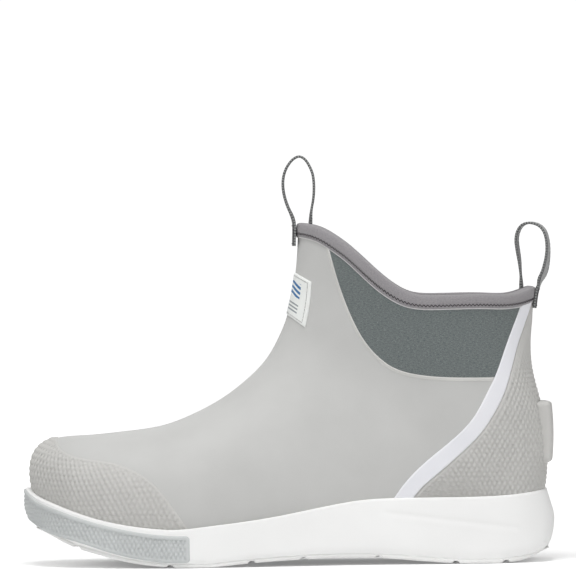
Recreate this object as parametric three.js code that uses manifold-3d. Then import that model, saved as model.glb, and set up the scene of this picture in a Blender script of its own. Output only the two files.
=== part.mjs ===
// A slip-on ankle deck boot for the left foot: a rubber upper with stretch gores, textured toe and
// heel caps and two pull loops, on a foam midsole with a rubber outsole.
// Millimetres, +Z up. The toe points along +X and the outer side of the foot along +Y. The origin is
// on the floor, under the middle of the boot's length and width.
import * as THREE from "three";
import { mergeVertices } from "three/addons/utils/BufferGeometryUtils.js";
import Module from "manifold-3d";

// ---- Driving dimensions ----
const LENGTH = 300; // front of the toe bumper to the back of the heel
const WIDTH = 104; // across the ball of the foot, over the bumper
const COLLAR_HEIGHT = 191; // top of the collar at the shin, above the floor
const GAP = 0.3; // clearance between pieces that touch
const SHELL = 1.5; // rubber upper
const STIFFENER = 0.7; // toe puff and heel counter
const LINING = 1.5;
const BINDING = 0.8; // thickness of the tape folded over the collar
const BINDING_DEPTH = 9.5; // how far the tape reaches down from the collar edge
const THREAD = 0.6;
const THREAD_RISE = 2.4; // stitch line above the tape's lower edge
const CAP = 1.2; // toe cap and heel cap overlays
const STRIPE = 0.8;
const LABEL = 0.5;
const GORE = 1.2;
const BUMPER = 3.2; // thickness of the rubber band round the toe
const BUMPER_PROUD = 1; // how far it stands out of the midsole
const OUTSOLE = 2.4;
const OUTSOLE_MARGIN = 1.6; // midsole left showing round the outsole
const GROOVE_DEPTH = 1.3;
const BOARD = 1.2; // insole board
const FOOTBED_FOAM = 4;
const FOOTBED_COVER = 1;
const FOOTBED_CLEARANCE = 1.1; // round the loose footbed
const SHANK_WIDTH = 18;
const SHANK = 1.2;
const KICK_TAB_WIDTH = 27;
const KICK_TAB = 3;
const WEBBING_WIDTH = 14;
const WEBBING = 1.3;
const TAIL_LENGTH = 14; // webbing sewn down on each side of the collar
const OVERLAP = 5; // how far the caps and stripes reach down behind the midsole's edge

// The outlines are drawn for these sizes and stretched to the driving dimensions. Heights stretch
// only above the foot, so that a taller boot keeps its sole.
const DRAWN = { length: 300, width: 104, collar: 191, ankle: 60 };
const RISE = (COLLAR_HEIGHT - DRAWN.ankle) / (DRAWN.collar - DRAWN.ankle);
const along = (x) => (x * LENGTH) / DRAWN.length;
const across = (y) => (y * WIDTH) / DRAWN.width;
const up = (z) => Math.min(z, DRAWN.ankle) + Math.max(z - DRAWN.ankle, 0) * RISE;
const drawn = (points) => points.map(([x, z]) => [along(x), up(z)]);

const FAR = 400; // beyond any part of the boot
const wasm = await Module();
wasm.setup();

// ---- Curves ----

// Natural cubic spline through (knots[i], values[i]), level beyond both ends.
function spline(knots, values) {
  const last = knots.length - 1;
  const bend = new Array(last + 1).fill(0);
  const carried = new Array(last + 1).fill(0);
  for (let i = 1; i < last; i++) {
    const before = knots[i] - knots[i - 1];
    const after = knots[i + 1] - knots[i];
    const share = before / (before + after);
    const pivot = share * bend[i - 1] + 2;
    const turn = (values[i + 1] - values[i]) / after - (values[i] - values[i - 1]) / before;
    bend[i] = (share - 1) / pivot;
    carried[i] = ((6 * turn) / (before + after) - share * carried[i - 1]) / pivot;
  }
  for (let i = last - 1; i >= 0; i--) {
    bend[i] = bend[i] * bend[i + 1] + carried[i];
  }
  return (at) => {
    const x = Math.min(Math.max(at, knots[0]), knots[last]);
    let i = 0;
    while (i < last - 1 && x > knots[i + 1]) i++;
    const step = knots[i + 1] - knots[i];
    const a = (knots[i + 1] - x) / step;
    const b = 1 - a;
    const curve = ((a ** 3 - a) * bend[i] + (b ** 3 - b) * bend[i + 1]) * step ** 2;
    return a * values[i] + b * values[i + 1] + curve / 6;
  };
}

// One spline for each column of a table, against the row number.
function columns(table) {
  const rows = table.map((_, i) => i);
  return table[0].map((_, c) => spline(rows, table.map((row) => row[c])));
}

// Height against x through side view points given from back to front.
const profile = (points) => spline(drawn(points).map((p) => p[0]), drawn(points).map((p) => p[1]));

// Points of the curve z(x), moved square to itself by shift.
function trace(curve, x0, x1, steps, shift = 0) {
  const points = [];
  for (let i = 0; i <= steps; i++) {
    const x = x0 + ((x1 - x0) * i) / steps;
    const slope = (curve(x + 0.1) - curve(x - 0.1)) / 0.2;
    const size = Math.hypot(1, slope);
    points.push([x - (shift * slope) / size, curve(x) + shift / size]);
  }
  return points;
}

// An open line moved to its left by shift.
function moved(line, shift) {
  return line.map(([x, z], i) => {
    const [ax, az] = line[Math.max(i - 1, 0)];
    const [bx, bz] = line[Math.min(i + 1, line.length - 1)];
    const size = Math.hypot(bx - ax, bz - az);
    return [x - (shift * (bz - az)) / size, z + (shift * (bx - ax)) / size];
  });
}

// ---- Solids ----

function solid(geometry) {
  geometry.deleteAttribute("normal");
  geometry.deleteAttribute("uv");
  const merged = mergeVertices(geometry, 1e-4);
  const vertProperties = new Float32Array(merged.attributes.position.array);
  const triVerts = new Uint32Array(merged.index.array);
  return new wasm.Manifold(new wasm.Mesh({ numProp: 3, vertProperties, triVerts }));
}

function fromFaces(points, faces) {
  const geometry = new THREE.BufferGeometry();
  geometry.setAttribute("position", new THREE.Float32BufferAttribute(points.flat(), 3));
  geometry.setIndex(faces.flat());
  return solid(geometry);
}

function extruded(outline, depth) {
  const shape = new THREE.Shape(outline.map(([a, b]) => new THREE.Vector2(a, b)));
  return new THREE.ExtrudeGeometry(shape, { depth, bevelEnabled: false });
}

// A side view outline carried across the boot from y0 to y1.
function sidePrism(outline, y0 = -FAR, y1 = FAR) {
  return solid(extruded(outline, y1 - y0).rotateX(Math.PI / 2).translate(0, y1, 0));
}

function box(x0, x1, y0, y1, z0, z1) {
  const geometry = new THREE.BoxGeometry(x1 - x0, y1 - y0, z1 - z0);
  return solid(geometry.translate((x0 + x1) / 2, (y0 + y1) / 2, (z0 + z1) / 2));
}

// Everything under, or over, a line that runs from back to front.
const under = (line) => sidePrism([...line, [FAR, line.at(-1)[1]], [FAR, -FAR], [-FAR, -FAR], [-FAR, line[0][1]]]);
const over = (line) => sidePrism([...line, [FAR, line.at(-1)[1]], [FAR, FAR], [-FAR, FAR], [-FAR, line[0][1]]]);

// ---- The upper's form ----
// Each station is a flat section from a point on the top line (toe, instep and shin) to one on the
// bottom line (sole and back of the heel). Columns: top x and z; bottom x and z; y of the centre, the
// outer side and the inner side; the share of the width kept at the bottom; how far down it is
// widest; and the power of its rounding above and below that.
const UPPER_STATIONS = [
  [145.4, 52, 145.4, 52, -8, -7.5, -8.5, 0.5, 0.5, 2.1, 2.3],
  [144.2, 60, 144.2, 43.5, -8, 4.5, -19.5, 0.35, 0.55, 2.2, 2.4],
  [139.4, 67, 139.6, 35.2, -8, 13.8, -26.6, 0.5, 0.6, 2.3, 2.5],
  [128.6, 71.4, 128.8, 26.8, -7.5, 25.2, -34.6, 0.62, 0.66, 2.3, 2.5],
  [112, 72.6, 112, 20, -6, 35.6, -41.2, 0.7, 0.69, 2.3, 2.5],
  [91, 74.6, 89, 15.4, -4.5, 42.4, -44.8, 0.72, 0.71, 2.25, 2.5],
  [70, 77.9, 62, 13.4, -3, 45.4, -44.4, 0.72, 0.72, 2.2, 2.5],
  [51, 85.3, 30, 15.6, -1.5, 44.6, -39.6, 0.72, 0.72, 2.1, 2.5],
  [36, 93.6, -6, 21.6, -0.5, 40.6, -34, 0.72, 0.7, 2.05, 2.5],
  [22.5, 104, -44, 27.2, 0, 37, -32, 0.72, 0.66, 2, 2.5],
  [12.4, 114.6, -84, 28, 0, 35, -32.4, 0.72, 0.62, 2, 2.5],
  [6, 125.5, -120, 28.4, 0, 33.4, -32.6, 0.64, 0.6, 2, 2.5],
  [2, 134.5, -137.6, 32.5, 0, 33.2, -32.9, 0.3, 0.58, 2, 2.5],
  [-0.6, 143, -142.5, 46, 0, 33.8, -33.6, 0.02, 0.57, 2, 2.5],
  [-2.6, 152, -143.1, 62, 0, 34.6, -34.5, 0.02, 0.56, 2, 2.45],
  [-4.2, 162, -140.7, 84, 0, 35.4, -35.4, 0.02, 0.54, 2, 2.35],
  [-5.2, 172, -135.7, 105, 0, 36.2, -36.2, 0.02, 0.52, 2, 2.2],
  [-5.8, 182, -134.4, 124, 0, 36.8, -36.8, 0.02, 0.5, 2, 2.1],
  [-6.2, 193, -136.7, 144, 0, 37, -37, 0.02, 0.5, 2, 2],
  [-6.5, 205, -139.4, 164, 0, 37, -37, 0.02, 0.5, 2, 2],
];
const FIRST_STATION = 0.16; // just behind the tip of the toe
const LAST_STATION = UPPER_STATIONS.length - 1;
const UPPER_RINGS = 22;
const UPPER_POINTS = 8; // steps down each side of a ring
const upperColumns = columns(UPPER_STATIONS);

// Point of the upper's outer face at station u, from angle 0 on the top line to PI on the bottom
// line, on the outer (+1) or inner (-1) side.
function upperPoint(u, angle, side) {
  const [topX, topZ, lowX, lowZ, centre, outer, inner, flat, widest, above, below] = upperColumns.map((f) => f(u));
  const reach = (side > 0 ? outer : inner) - centre;
  const turn = Math.abs(Math.cos(angle));
  const swell = Math.max(Math.sin(angle), 0);
  const high = angle <= Math.PI / 2;
  const down = high ? widest * (1 - turn ** (2 / above)) : widest + (1 - widest) * turn ** (2 / below);
  const out = high ? swell ** (2 / above) : flat + (1 - flat) * swell ** (2 / below);
  return new THREE.Vector3(
    along(topX + (lowX - topX) * down),
    across(centre + reach * out),
    up(topZ + (lowZ - topZ) * down),
  );
}

// Outward direction there. It is longer along the edge of the underside, so that the wall and the
// underside both move out by the same amount.
function upperOutward(u, angle, side) {
  const step = 0.02;
  const before = upperPoint(Math.max(u - step, FIRST_STATION / 2), angle, side);
  const after = upperPoint(Math.min(u + step, LAST_STATION), angle, side);
  const above = upperPoint(u, Math.max(angle - step, 0), side);
  const below = upperPoint(u, Math.min(angle + step, Math.PI), side);
  const back = after.clone().sub(before);
  const wall = back.clone().cross(below.sub(above)).multiplyScalar(-side).normalize();
  if (angle < step) return wall.setY(0).normalize();
  if (angle < Math.PI - step) return wall;
  const floor = back.setY(0).cross(new THREE.Vector3(0, 1, 0)).normalize();
  const bend = Math.max(wall.dot(floor), 0);
  return wall.add(floor).divideScalar(1 + bend);
}

// Each ring goes down the outer side and back up the inner side.
function upperGrid() {
  const rings = [];
  for (let i = 0; i <= UPPER_RINGS; i++) {
    const u = FIRST_STATION + ((LAST_STATION - FIRST_STATION) * i) / UPPER_RINGS;
    const ring = [];
    for (let j = 0; j <= 2 * UPPER_POINTS; j++) {
      const side = j <= UPPER_POINTS ? 1 : -1;
      const angle = (Math.PI * (side > 0 ? j : 2 * UPPER_POINTS + 1 - j)) / UPPER_POINTS;
      ring.push({ point: upperPoint(u, angle, side), outward: upperOutward(u, angle, side) });
    }
    rings.push(ring);
  }
  return rings;
}

const grid = upperGrid();
const uppers = new Map();

// The whole volume inside the upper's outer face, moved out by offset.
function upper(offset) {
  if (uppers.has(offset)) return uppers.get(offset);
  const size = grid[0].length;
  const place = ({ point, outward }) => point.clone().addScaledVector(outward, offset).toArray();
  const points = grid.flat().map(place);
  const faces = [];
  for (let i = 0; i < UPPER_RINGS; i++) {
    for (let j = 0; j < size; j++) {
      const a = i * size + j;
      const b = i * size + ((j + 1) % size);
      faces.push([a, b + size, a + size], [a, b, b + size]);
    }
  }
  for (let j = 1; j < size - 1; j++) {
    const last = UPPER_RINGS * size;
    faces.push([0, j + 1, j], [last, last + j, last + j + 1]);
  }
  uppers.set(offset, fromFaces(points, faces));
  return uppers.get(offset);
}

// The layer of the upper between two offsets from its outer face.
const layer = (inside, outside) => upper(outside).subtract(upper(inside));

// ---- The sole's form ----
// Columns: x, y of the outer and inner edge, and how far the wall leans in at the top.
const SOLE_STATIONS = [
  [-150, 0, 0, 6.5],
  [-147.2, 14.5, -14.5, 6.3],
  [-139, 26.5, -26.3, 5.6],
  [-124.5, 35, -34.6, 4.6],
  [-103, 38.3, -37.6, 3.6],
  [-73, 38.8, -36.6, 3],
  [-40, 39.8, -35, 2.8],
  [-8, 44, -37.2, 2.6],
  [22, 48.8, -42.6, 2.4],
  [48, 51, -48, 2.2],
  [72, 50.6, -51, 2],
  [94, 46.3, -50.4, 1.8],
  [113, 40.2, -46.8, 1.5],
  [129, 31.2, -40.5, 1.2],
  [140.6, 18.6, -31, 0.8],
  [147, 5, -20, 0.5],
  [149, -8, -8, 0.5],
];
// Wall of the midsole: share of its height, inset at the bottom edge, share of the lean.
const WALL_LEVELS = [
  [0, 2.2, 0],
  [0.06, 0.6, 0],
  [0.16, 0, 0],
  [0.55, 0, 0.45],
  [1, 0, 1],
];
const SOLE_SLICES = 24;
const TREAD_LINE = [
  [-150, 18],
  [-147, 10.8],
  [-141.7, 6.7],
  [-135, 3.6],
  [-127.6, 1.4],
  [-117.8, 0.2],
  [-106.3, -0.3],
  [-90.3, 0.4],
  [-70.7, 2],
  [-45, 4],
  [-25.9, 4.3],
  [-2.4, 3.6],
  [24.2, 2],
  [36.8, 0.8],
  [49.1, -0.5],
  [60.3, -0.2],
  [77.1, 1.3],
  [90.6, 3.4],
  [107.9, 7.8],
  [125.3, 13.7],
  [140.5, 20.8],
  [146.6, 25.1],
  [149.4, 31],
];
const FOAM_LINE = [
  [-150, 42.5],
  [-141.7, 40.2],
  [-122.2, 37.7],
  [-57.6, 36.8],
  [-41.8, 36.1],
  [-18.1, 32.5],
  [13.3, 26.8],
  [49.1, 22.4],
  [62.6, 21.2],
  [75.4, 21.7],
  [89.7, 23.4],
  [104, 26.1],
  [127, 32.9],
  [137.6, 37.4],
  [145.8, 42.5],
  [149.5, 46.5],
];
const soleColumns = columns(SOLE_STATIONS);
const treadLine = profile(TREAD_LINE);
const tread = (x) => Math.max(treadLine(x), 0);
const foamEdge = profile(FOAM_LINE);

// Point of the sole's outline at station u on the outer (+1) or inner (-1) side, moved out by grow.
function solePoint(u, side, grow) {
  const at = (v) => {
    const [x, outer, inner] = soleColumns.map((f) => f(v));
    return new THREE.Vector2(along(x), across(side > 0 ? outer : inner));
  };
  const last = SOLE_STATIONS.length - 1;
  const ahead = at(Math.min(u + 0.02, last)).sub(at(Math.max(u - 0.02, 0)));
  const out = new THREE.Vector2(-ahead.y, ahead.x).multiplyScalar(side).normalize();
  if (u === 0) out.set(-1, 0);
  if (u === last) out.set(1, 0);
  return at(u).addScaledVector(out, grow);
}

// A slab with the sole's outline between two heights low(x) and high(x), grown all round by grow.
function soleSlab(low, high, levels, grow) {
  const last = SOLE_STATIONS.length - 1;
  const points = [];
  for (const [share, inset, lean] of levels) {
    for (let i = 0; i < 2 * SOLE_SLICES; i++) {
      const side = i < SOLE_SLICES ? 1 : -1;
      const u = (last * (side > 0 ? i : 2 * SOLE_SLICES - i)) / SOLE_SLICES;
      const { x, y } = solePoint(u, side, grow - inset - lean * soleColumns[3](u));
      points.push([x, y, low(x) + (high(x) - low(x)) * share]);
    }
  }
  const size = 2 * SOLE_SLICES;
  const faces = [];
  for (let k = 0; k < levels.length - 1; k++) {
    for (let i = 0; i < size; i++) {
      const a = k * size + i;
      const b = k * size + ((i + 1) % size);
      faces.push([a, b + size, b], [a, a + size, b + size]);
    }
  }
  const top = (levels.length - 1) * size;
  for (let i = 0; i < SOLE_SLICES; i++) {
    const a = i === 0 ? 0 : size - i;
    const b = size - i - 1;
    for (const [base, flip] of [[0, false], [top, true]]) {
      const near = [base + i, base + i + 1, base + a];
      const far = [base + i + 1, base + b, base + a];
      if (i > 0) faces.push(flip ? near.reverse() : near);
      if (i < SOLE_SLICES - 1) faces.push(flip ? far.reverse() : far);
    }
  }
  return fromFaces(points, faces);
}


// ---- Lines seen from the side ----
const COLLAR_LINE = [
  [-152, 155.5],
  [-137, 153.8],
  [-128, 151],
  [-110, 150.4],
  [-80, 150.3],
  [-69, 151.6],
  [-60, 156.2],
  [-51, 163.3],
  [-36, 176.9],
  [-27, 183.5],
  [-17.5, 188.6],
  [-7, 191],
  [8, 191.4],
];
const TOE_CAP_EDGE = drawn([
  [46, 8],
  [57.5, 22.2],
  [64.7, 32.6],
  [71.8, 42],
  [82.5, 51.5],
  [87.3, 54],
  [96.2, 57.4],
  [107.7, 59.4],
  [121.5, 62],
  [125.4, 63.6],
  [129.2, 67.2],
  [130, 85],
]);
const STRIPE_FRONT = drawn([
  [-52, 28],
  [-62.3, 43.5],
  [-68.8, 50.8],
  [-85.5, 65],
  [-97, 75.1],
  [-102.8, 82.1],
  [-108.6, 92.3],
  [-114.4, 103.8],
  [-120.2, 119.1],
  [-129.3, 142.5],
  [-134, 156],
]);
const STRIPE_BACK = drawn([
  [-63, 28],
  [-72.6, 42.1],
  [-79.1, 47.7],
  [-98.3, 64.2],
  [-107.4, 73.7],
  [-111.8, 80.1],
  [-117.7, 90.3],
  [-122.1, 101.7],
  [-127.3, 120.4],
  [-135.3, 143],
  [-139, 156],
]);
const GORE_EDGE = drawn([
  [-20, 192],
  [-23.1, 175.3],
  [-26.6, 161.5],
  [-34.6, 138.4],
  [-44.4, 121],
  [-56.6, 109.9],
  [-72.6, 104.9],
  [-98.3, 103.1],
  [-114, 103],
]);
const LABEL_OUTLINE = drawn([
  [-10.5, 157.2],
  [-6, 131.8],
  [20, 139],
  [16, 165],
]);
const KICK_TAB_OUTLINE = drawn([
  [-160, 54.5],
  [-120, 54.5],
  [-120, 88.5],
  [-160, 88.5],
]);
const BUMPER_TOP = drawn([
  [56, 17.9],
  [68.3, 18.2],
  [82.5, 19.7],
  [100.4, 23.2],
  [118.3, 28.1],
  [136.8, 34.5],
  [143, 38.6],
  [147, 44.5],
  [151, 50],
]);
const BUMPER_BOTTOM = drawn([
  [56, 2.9],
  [68.3, 3.8],
  [82.5, 5],
  [96.8, 8],
  [118.3, 14.6],
  [133.5, 18.6],
  [138, 19],
  [152, 19],
]);
const GROOVES = [119, 95, 67, 22, -7, -48.5, -91.5, -119.3];
const GROOVE_WIDTH = 3.6;
const OUTSOLE_ENDS = [along(-141), along(137)];

const collar = profile(COLLAR_LINE);
const collarPath = (shift) => trace(collar, along(-151), along(7), 26, shift);
const wallTop = under(collarPath(-BINDING - GAP)); // shell, gores and lining end here, under the binding
const bindingFoot = collarPath(-BINDING_DEPTH);
const footLine = UPPER_STATIONS.slice(1, 13).reverse();
const floorLine = profile(footLine.map((station) => [station[2], station[3]]));
const treadPath = (rise) => trace(tread, along(-149), along(148), 44).map(([x, z]) => [x, z + rise]);
const floorPath = (shift) => trace(floorLine, along(-138), along(145), 32, shift);
const sinkPath = (shift) => trace(foamEdge, along(-150), along(149), 26, shift - OVERLAP);
const outerSide = box(-FAR, FAR, 0, FAR, -FAR, FAR);
const innerSide = box(-FAR, FAR, -FAR, 0, -FAR, FAR);

const inFrontOf = (line, shift = 0) => sidePrism([...moved(line, -shift), [FAR, line.at(-1)[1]], [FAR, line[0][1]]]);
const behind = (line, shift = 0) => sidePrism([...moved(line, shift), [-FAR, line.at(-1)[1]], [-FAR, line[0][1]]]);

// ---- Sole ----
const edgeWall = [[0, 0, 0], [1, 0, 0]];
const soleCore = (grow) => soleSlab(() => -5, () => FAR, edgeWall, grow); // all inside the outline

function makeOutsole() {
  let outsole = soleCore(-OUTSOLE_MARGIN)
    .intersect(over(treadPath(0)).intersect(under(treadPath(OUTSOLE))))
    .intersect(box(...OUTSOLE_ENDS, -FAR, FAR, -1, FAR));
  for (const x of GROOVES.map(along)) {
    const half = GROOVE_WIDTH / 2;
    const floor = tread(x) + GROOVE_DEPTH;
    outsole = outsole.subtract(box(x - half, x + half, -FAR, FAR, -1, floor));
  }
  return outsole;
}

// The band round the toe, outside the sole's core, that the bumper fills.
function bumperBand(spread) {
  const front = box(BUMPER_TOP[0][0] - spread, FAR, -FAR, FAR, -FAR, FAR);
  const band = under(moved(BUMPER_TOP, spread)).intersect(over(moved(BUMPER_BOTTOM, -spread)));
  return band.intersect(front).subtract(soleCore(BUMPER_PROUD - BUMPER - spread));
}

function outsoleRoom() {
  const [back, front] = OUTSOLE_ENDS;
  return under(treadPath(OUTSOLE + GAP)).intersect(box(back - GAP, front + GAP, -FAR, FAR, -1, FAR));
}

function makeBumper() {
  const wall = soleSlab(tread, foamEdge, WALL_LEVELS, BUMPER_PROUD).intersect(bumperBand(0));
  return wall.subtract(outsoleRoom()).subtract(upper(CAP + 2 * GAP));
}

// The foam takes the outsole below, the bumper round the toe, the shank under the arch, and the
// upper with its caps and stripes above.
function makeMidsole() {
  const capRoom = over(sinkPath(-GAP)).intersect(upper(CAP + 2 * GAP));
  return soleSlab(tread, foamEdge, WALL_LEVELS, 0)
    .subtract(outsoleRoom())
    .subtract(bumperBand(GAP))
    .subtract(upper(GAP))
    .subtract(capRoom.intersect(inFrontOf(TOE_CAP_EDGE, -GAP)))
    .subtract(capRoom.intersect(behind(STRIPE_FRONT, -GAP)))
    .subtract(shankBar(GAP));
}

function shankBar(spread) {
  const bar = under(floorPath(-3 * GAP + spread)).intersect(over(floorPath(-3 * GAP - SHANK - spread)));
  const half = SHANK_WIDTH / 2 + spread;
  return bar.intersect(box(along(-85) - spread, along(15) + spread, -half, half, -1, FAR));
}

// ---- Upper ----

// A closed outline, given anticlockwise, grown all round.
function grown(outline, spread) {
  const count = outline.length;
  return outline.map(([x, z], i) => {
    const [ax, az] = outline[(i + count - 1) % count];
    const [bx, bz] = outline[(i + 1) % count];
    const before = Math.hypot(x - ax, z - az);
    const after = Math.hypot(bx - x, bz - z);
    const nx = (z - az) / before + (bz - z) / after;
    const nz = (ax - x) / before + (x - bx) / after;
    const scale = (2 * spread) / (nx * nx + nz * nz);
    return [x + nx * scale, z + nz * scale];
  });
}

// Region behind the gore's front and bottom edge and in front of the stripe.
function goreWindow(spread) {
  const back = STRIPE_FRONT.filter(([, z]) => z > GORE_EDGE.at(-1)[1] + 1);
  return sidePrism(grown([...GORE_EDGE, ...back].reverse(), spread));
}

function makeShell() {
  return layer(-SHELL, 0).intersect(wallTop).subtract(goreWindow(GAP));
}

function makeGore(half) {
  const inset = (SHELL - GORE) / 2;
  return layer(-inset - GORE, -inset).intersect(wallTop).intersect(goreWindow(0)).intersect(half);
}

const stiffenerOut = -SHELL - GAP;
const stiffenerIn = stiffenerOut - STIFFENER;
const liningOut = stiffenerIn - GAP;
const liningIn = liningOut - LINING;

function makeToePuff() {
  const front = box(along(98), FAR, -FAR, FAR, -FAR, FAR).intersect(over(floorPath(12)));
  return layer(stiffenerIn, stiffenerOut).intersect(front);
}

function makeHeelCounter() {
  const line = drawn([
    [-70, 48],
    [-92, 90],
    [-112, 100],
    [-150, 102],
  ]);
  const wrap = behind(line).intersect(over(floorPath(10))).intersect(under([[-FAR, up(100)], [FAR, up(100)]]));
  return layer(stiffenerIn, stiffenerOut).intersect(wrap);
}

function makeLining() {
  return layer(liningIn, liningOut).intersect(wallTop);
}

// Tape folded over the collar: it covers both faces of the wall.
function makeBinding() {
  const tape = layer(liningIn - GAP - BINDING, GAP + BINDING);
  const wall = layer(liningIn - GAP, GAP).intersect(under(collarPath(-BINDING)));
  return tape.intersect(under(collarPath(0))).intersect(over(bindingFoot)).subtract(wall);
}

function makeStitching(half) {
  const rise = THREAD_RISE - BINDING_DEPTH;
  const row = under(collarPath(rise + THREAD / 2)).intersect(over(collarPath(rise - THREAD / 2)));
  const base = 2 * GAP + BINDING;
  const tails = box(-FAR, FAR, -WEBBING_WIDTH / 2 - 2 * GAP, WEBBING_WIDTH / 2 + 2 * GAP, -FAR, FAR);
  return layer(base, base + THREAD).intersect(row).subtract(tails).intersect(half);
}

// Overlays stand GAP off the upper, and stop just below the binding and behind the foam's edge.
function overlay(thickness) {
  return layer(GAP, GAP + thickness).intersect(under(collarPath(-BINDING_DEPTH - GAP))).intersect(over(sinkPath(0)));
}

const makeToeCap = () => overlay(CAP).intersect(inFrontOf(TOE_CAP_EDGE));
const makeHeelCap = () => overlay(CAP).intersect(behind(STRIPE_BACK, GAP));

function makeStripe(half) {
  return overlay(STRIPE).intersect(behind(STRIPE_FRONT)).intersect(inFrontOf(STRIPE_BACK)).intersect(half);
}

const makeLabel = () => layer(GAP, GAP + LABEL).intersect(sidePrism(LABEL_OUTLINE.slice().reverse()));

function makeKickTab() {
  const width = box(-FAR, 0, -KICK_TAB_WIDTH / 2, KICK_TAB_WIDTH / 2, -FAR, FAR);
  const base = 2 * GAP + CAP;
  return layer(base, base + KICK_TAB).intersect(sidePrism(KICK_TAB_OUTLINE)).intersect(width);
}

// ---- Inside the foot ----
const insideOf = (offset, low, high) => upper(offset).intersect(over(floorPath(low))).intersect(under(floorPath(high)));
const boardLow = -liningIn + 2 * GAP;
const footbedLow = boardLow + BOARD + GAP;
const coverLow = footbedLow + FOOTBED_FOAM + GAP;
const footbedWall = liningIn - FOOTBED_CLEARANCE;

const boardSpan = box(along(-122), along(132), -FAR, FAR, -FAR, FAR);
const makeBoard = () => insideOf(liningIn - 2 * GAP, 0, boardLow + BOARD).intersect(boardSpan);
const makeFootbed = () => insideOf(footbedWall, footbedLow, footbedLow + FOOTBED_FOAM);
const makeFootbedCover = () => insideOf(footbedWall, coverLow, coverLow + FOOTBED_COVER);

// ---- Pull loops ----
// A loop is a length of webbing: a tail sewn down each side of the collar and a loop between them
// that folds over at the height of the collar. Its line is drawn from the outer tail to the inner.
const webbing = (line) => {
  const left = moved(line, WEBBING / 2);
  const right = moved(line, -WEBBING / 2).reverse();
  return sidePrism([...left, ...right], -WEBBING_WIDTH / 2, WEBBING_WIDTH / 2);
};

const tabOuter = 2 * GAP + Math.max(BINDING, CAP);
const tabInner = liningIn - 2 * GAP - BINDING - WEBBING;

// Where the upper's face crosses a height, on the shin or at the heel, seen from the side.
function wallAt(front, z, offset) {
  const [x, height] = front ? [0, 1] : [2, 3];
  let low = 10;
  let high = LAST_STATION;
  for (let i = 0; i < 40; i++) {
    const middle = (low + high) / 2;
    if (up(upperColumns[height](middle)) < z) low = middle;
    else high = middle;
  }
  return along(upperColumns[x](low)) + (front ? offset : -offset);
}

const FRONT_LOOP = {
  front: true,
  top: COLLAR_HEIGHT,
  bend: 8, // height of the line it folds about, above the collar
  shape: [
    [6.3, 0],
    [7.6, 2.3],
    [8.8, 7.3],
    [9.2, 13.3],
    [8.3, 18.9],
    [5.8, 24],
    [2.8, 27.1],
    [0, 28.3],
    [-2.8, 27.1],
    [-5.4, 23.8],
    [-7.5, 19.5],
    [-8.3, 13.9],
    [-8.3, 9.6],
    [-7.6, 4.5],
    [-6.3, 0],
  ],
};
const REAR_LOOP = {
  front: false,
  top: collar(along(-138.5)),
  bend: 9.5,
  shape: [
    [-7.3, 0],
    [-8.2, 3.5],
    [-8.7, 9],
    [-8.4, 14],
    [-7.4, 19],
    [-5, 23],
    [-1.5, 25.4],
    [2.5, 25.9],
    [6.2, 24.6],
    [8.6, 21],
    [9.6, 16.5],
    [8.8, 11],
    [7.7, 5],
    [7.3, 0],
  ],
};
const TAB_RISE = 0.3; // the sewn tails end this far above the collar

// A tail follows the curve of the collar, on its outside or its inside.
function makeTab({ front, top }, offset) {
  const half = WEBBING_WIDTH / 2;
  const [back, ahead] = front ? [along(-40), FAR] : [-FAR, along(-100)];
  const strip = box(back, ahead, -half, half, top - TAIL_LENGTH, top + TAB_RISE);
  return layer(offset, offset + WEBBING).intersect(strip);
}

function makeLoop({ front, top, bend, shape }) {
  const middle = wallAt(front, top, (tabOuter + tabInner + WEBBING) / 2);
  return webbing(shape.map(([x, z]) => [middle + x, top + bend + z]));
}

// ---- Assembly ----
const PALE_RUBBER = { color: 0xcac9c7, roughness: 0.62 };
const CAP_RUBBER = { color: 0xc2c2bf, roughness: 0.66 };
const COOL_RUBBER = { color: 0xbbbfbe, roughness: 0.6 };
const FOAM = { color: 0xf1f1f0, roughness: 0.75 };
const STRETCH_CLOTH = { color: 0x6d7373, roughness: 0.95 };
const LINING_CLOTH = { color: 0x8b8f8f, roughness: 0.95 };
const TAPE = { color: 0x938f91, roughness: 0.9 };
const WHITE = { color: 0xf0f1f4, roughness: 0.5 };
const BOARD_FIBRE = { color: 0xb49a78, roughness: 0.9 };
const STEEL = { color: 0x9fa3a6, roughness: 0.35, metalness: 1 };
const STIFF_SHEET = { color: 0xd9d4c8, roughness: 0.8 };

const boot = new THREE.Group();
boot.name = "ankle_deck_boot";

function add(name, piece, look) {
  const { numProp, vertProperties, triVerts } = piece.getMesh();
  const points = new Float32Array((vertProperties.length / numProp) * 3);
  for (let i = 0; i < points.length / 3; i++) {
    points.set(vertProperties.subarray(i * numProp, i * numProp + 3), i * 3);
  }
  const geometry = new THREE.BufferGeometry();
  geometry.setAttribute("position", new THREE.BufferAttribute(points, 3));
  geometry.setIndex(new THREE.BufferAttribute(new Uint32Array(triVerts), 1));
  geometry.computeVertexNormals();
  const mesh = new THREE.Mesh(geometry, new THREE.MeshStandardMaterial({ metalness: 0, ...look }));
  mesh.name = name;
  boot.add(mesh);
}

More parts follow.
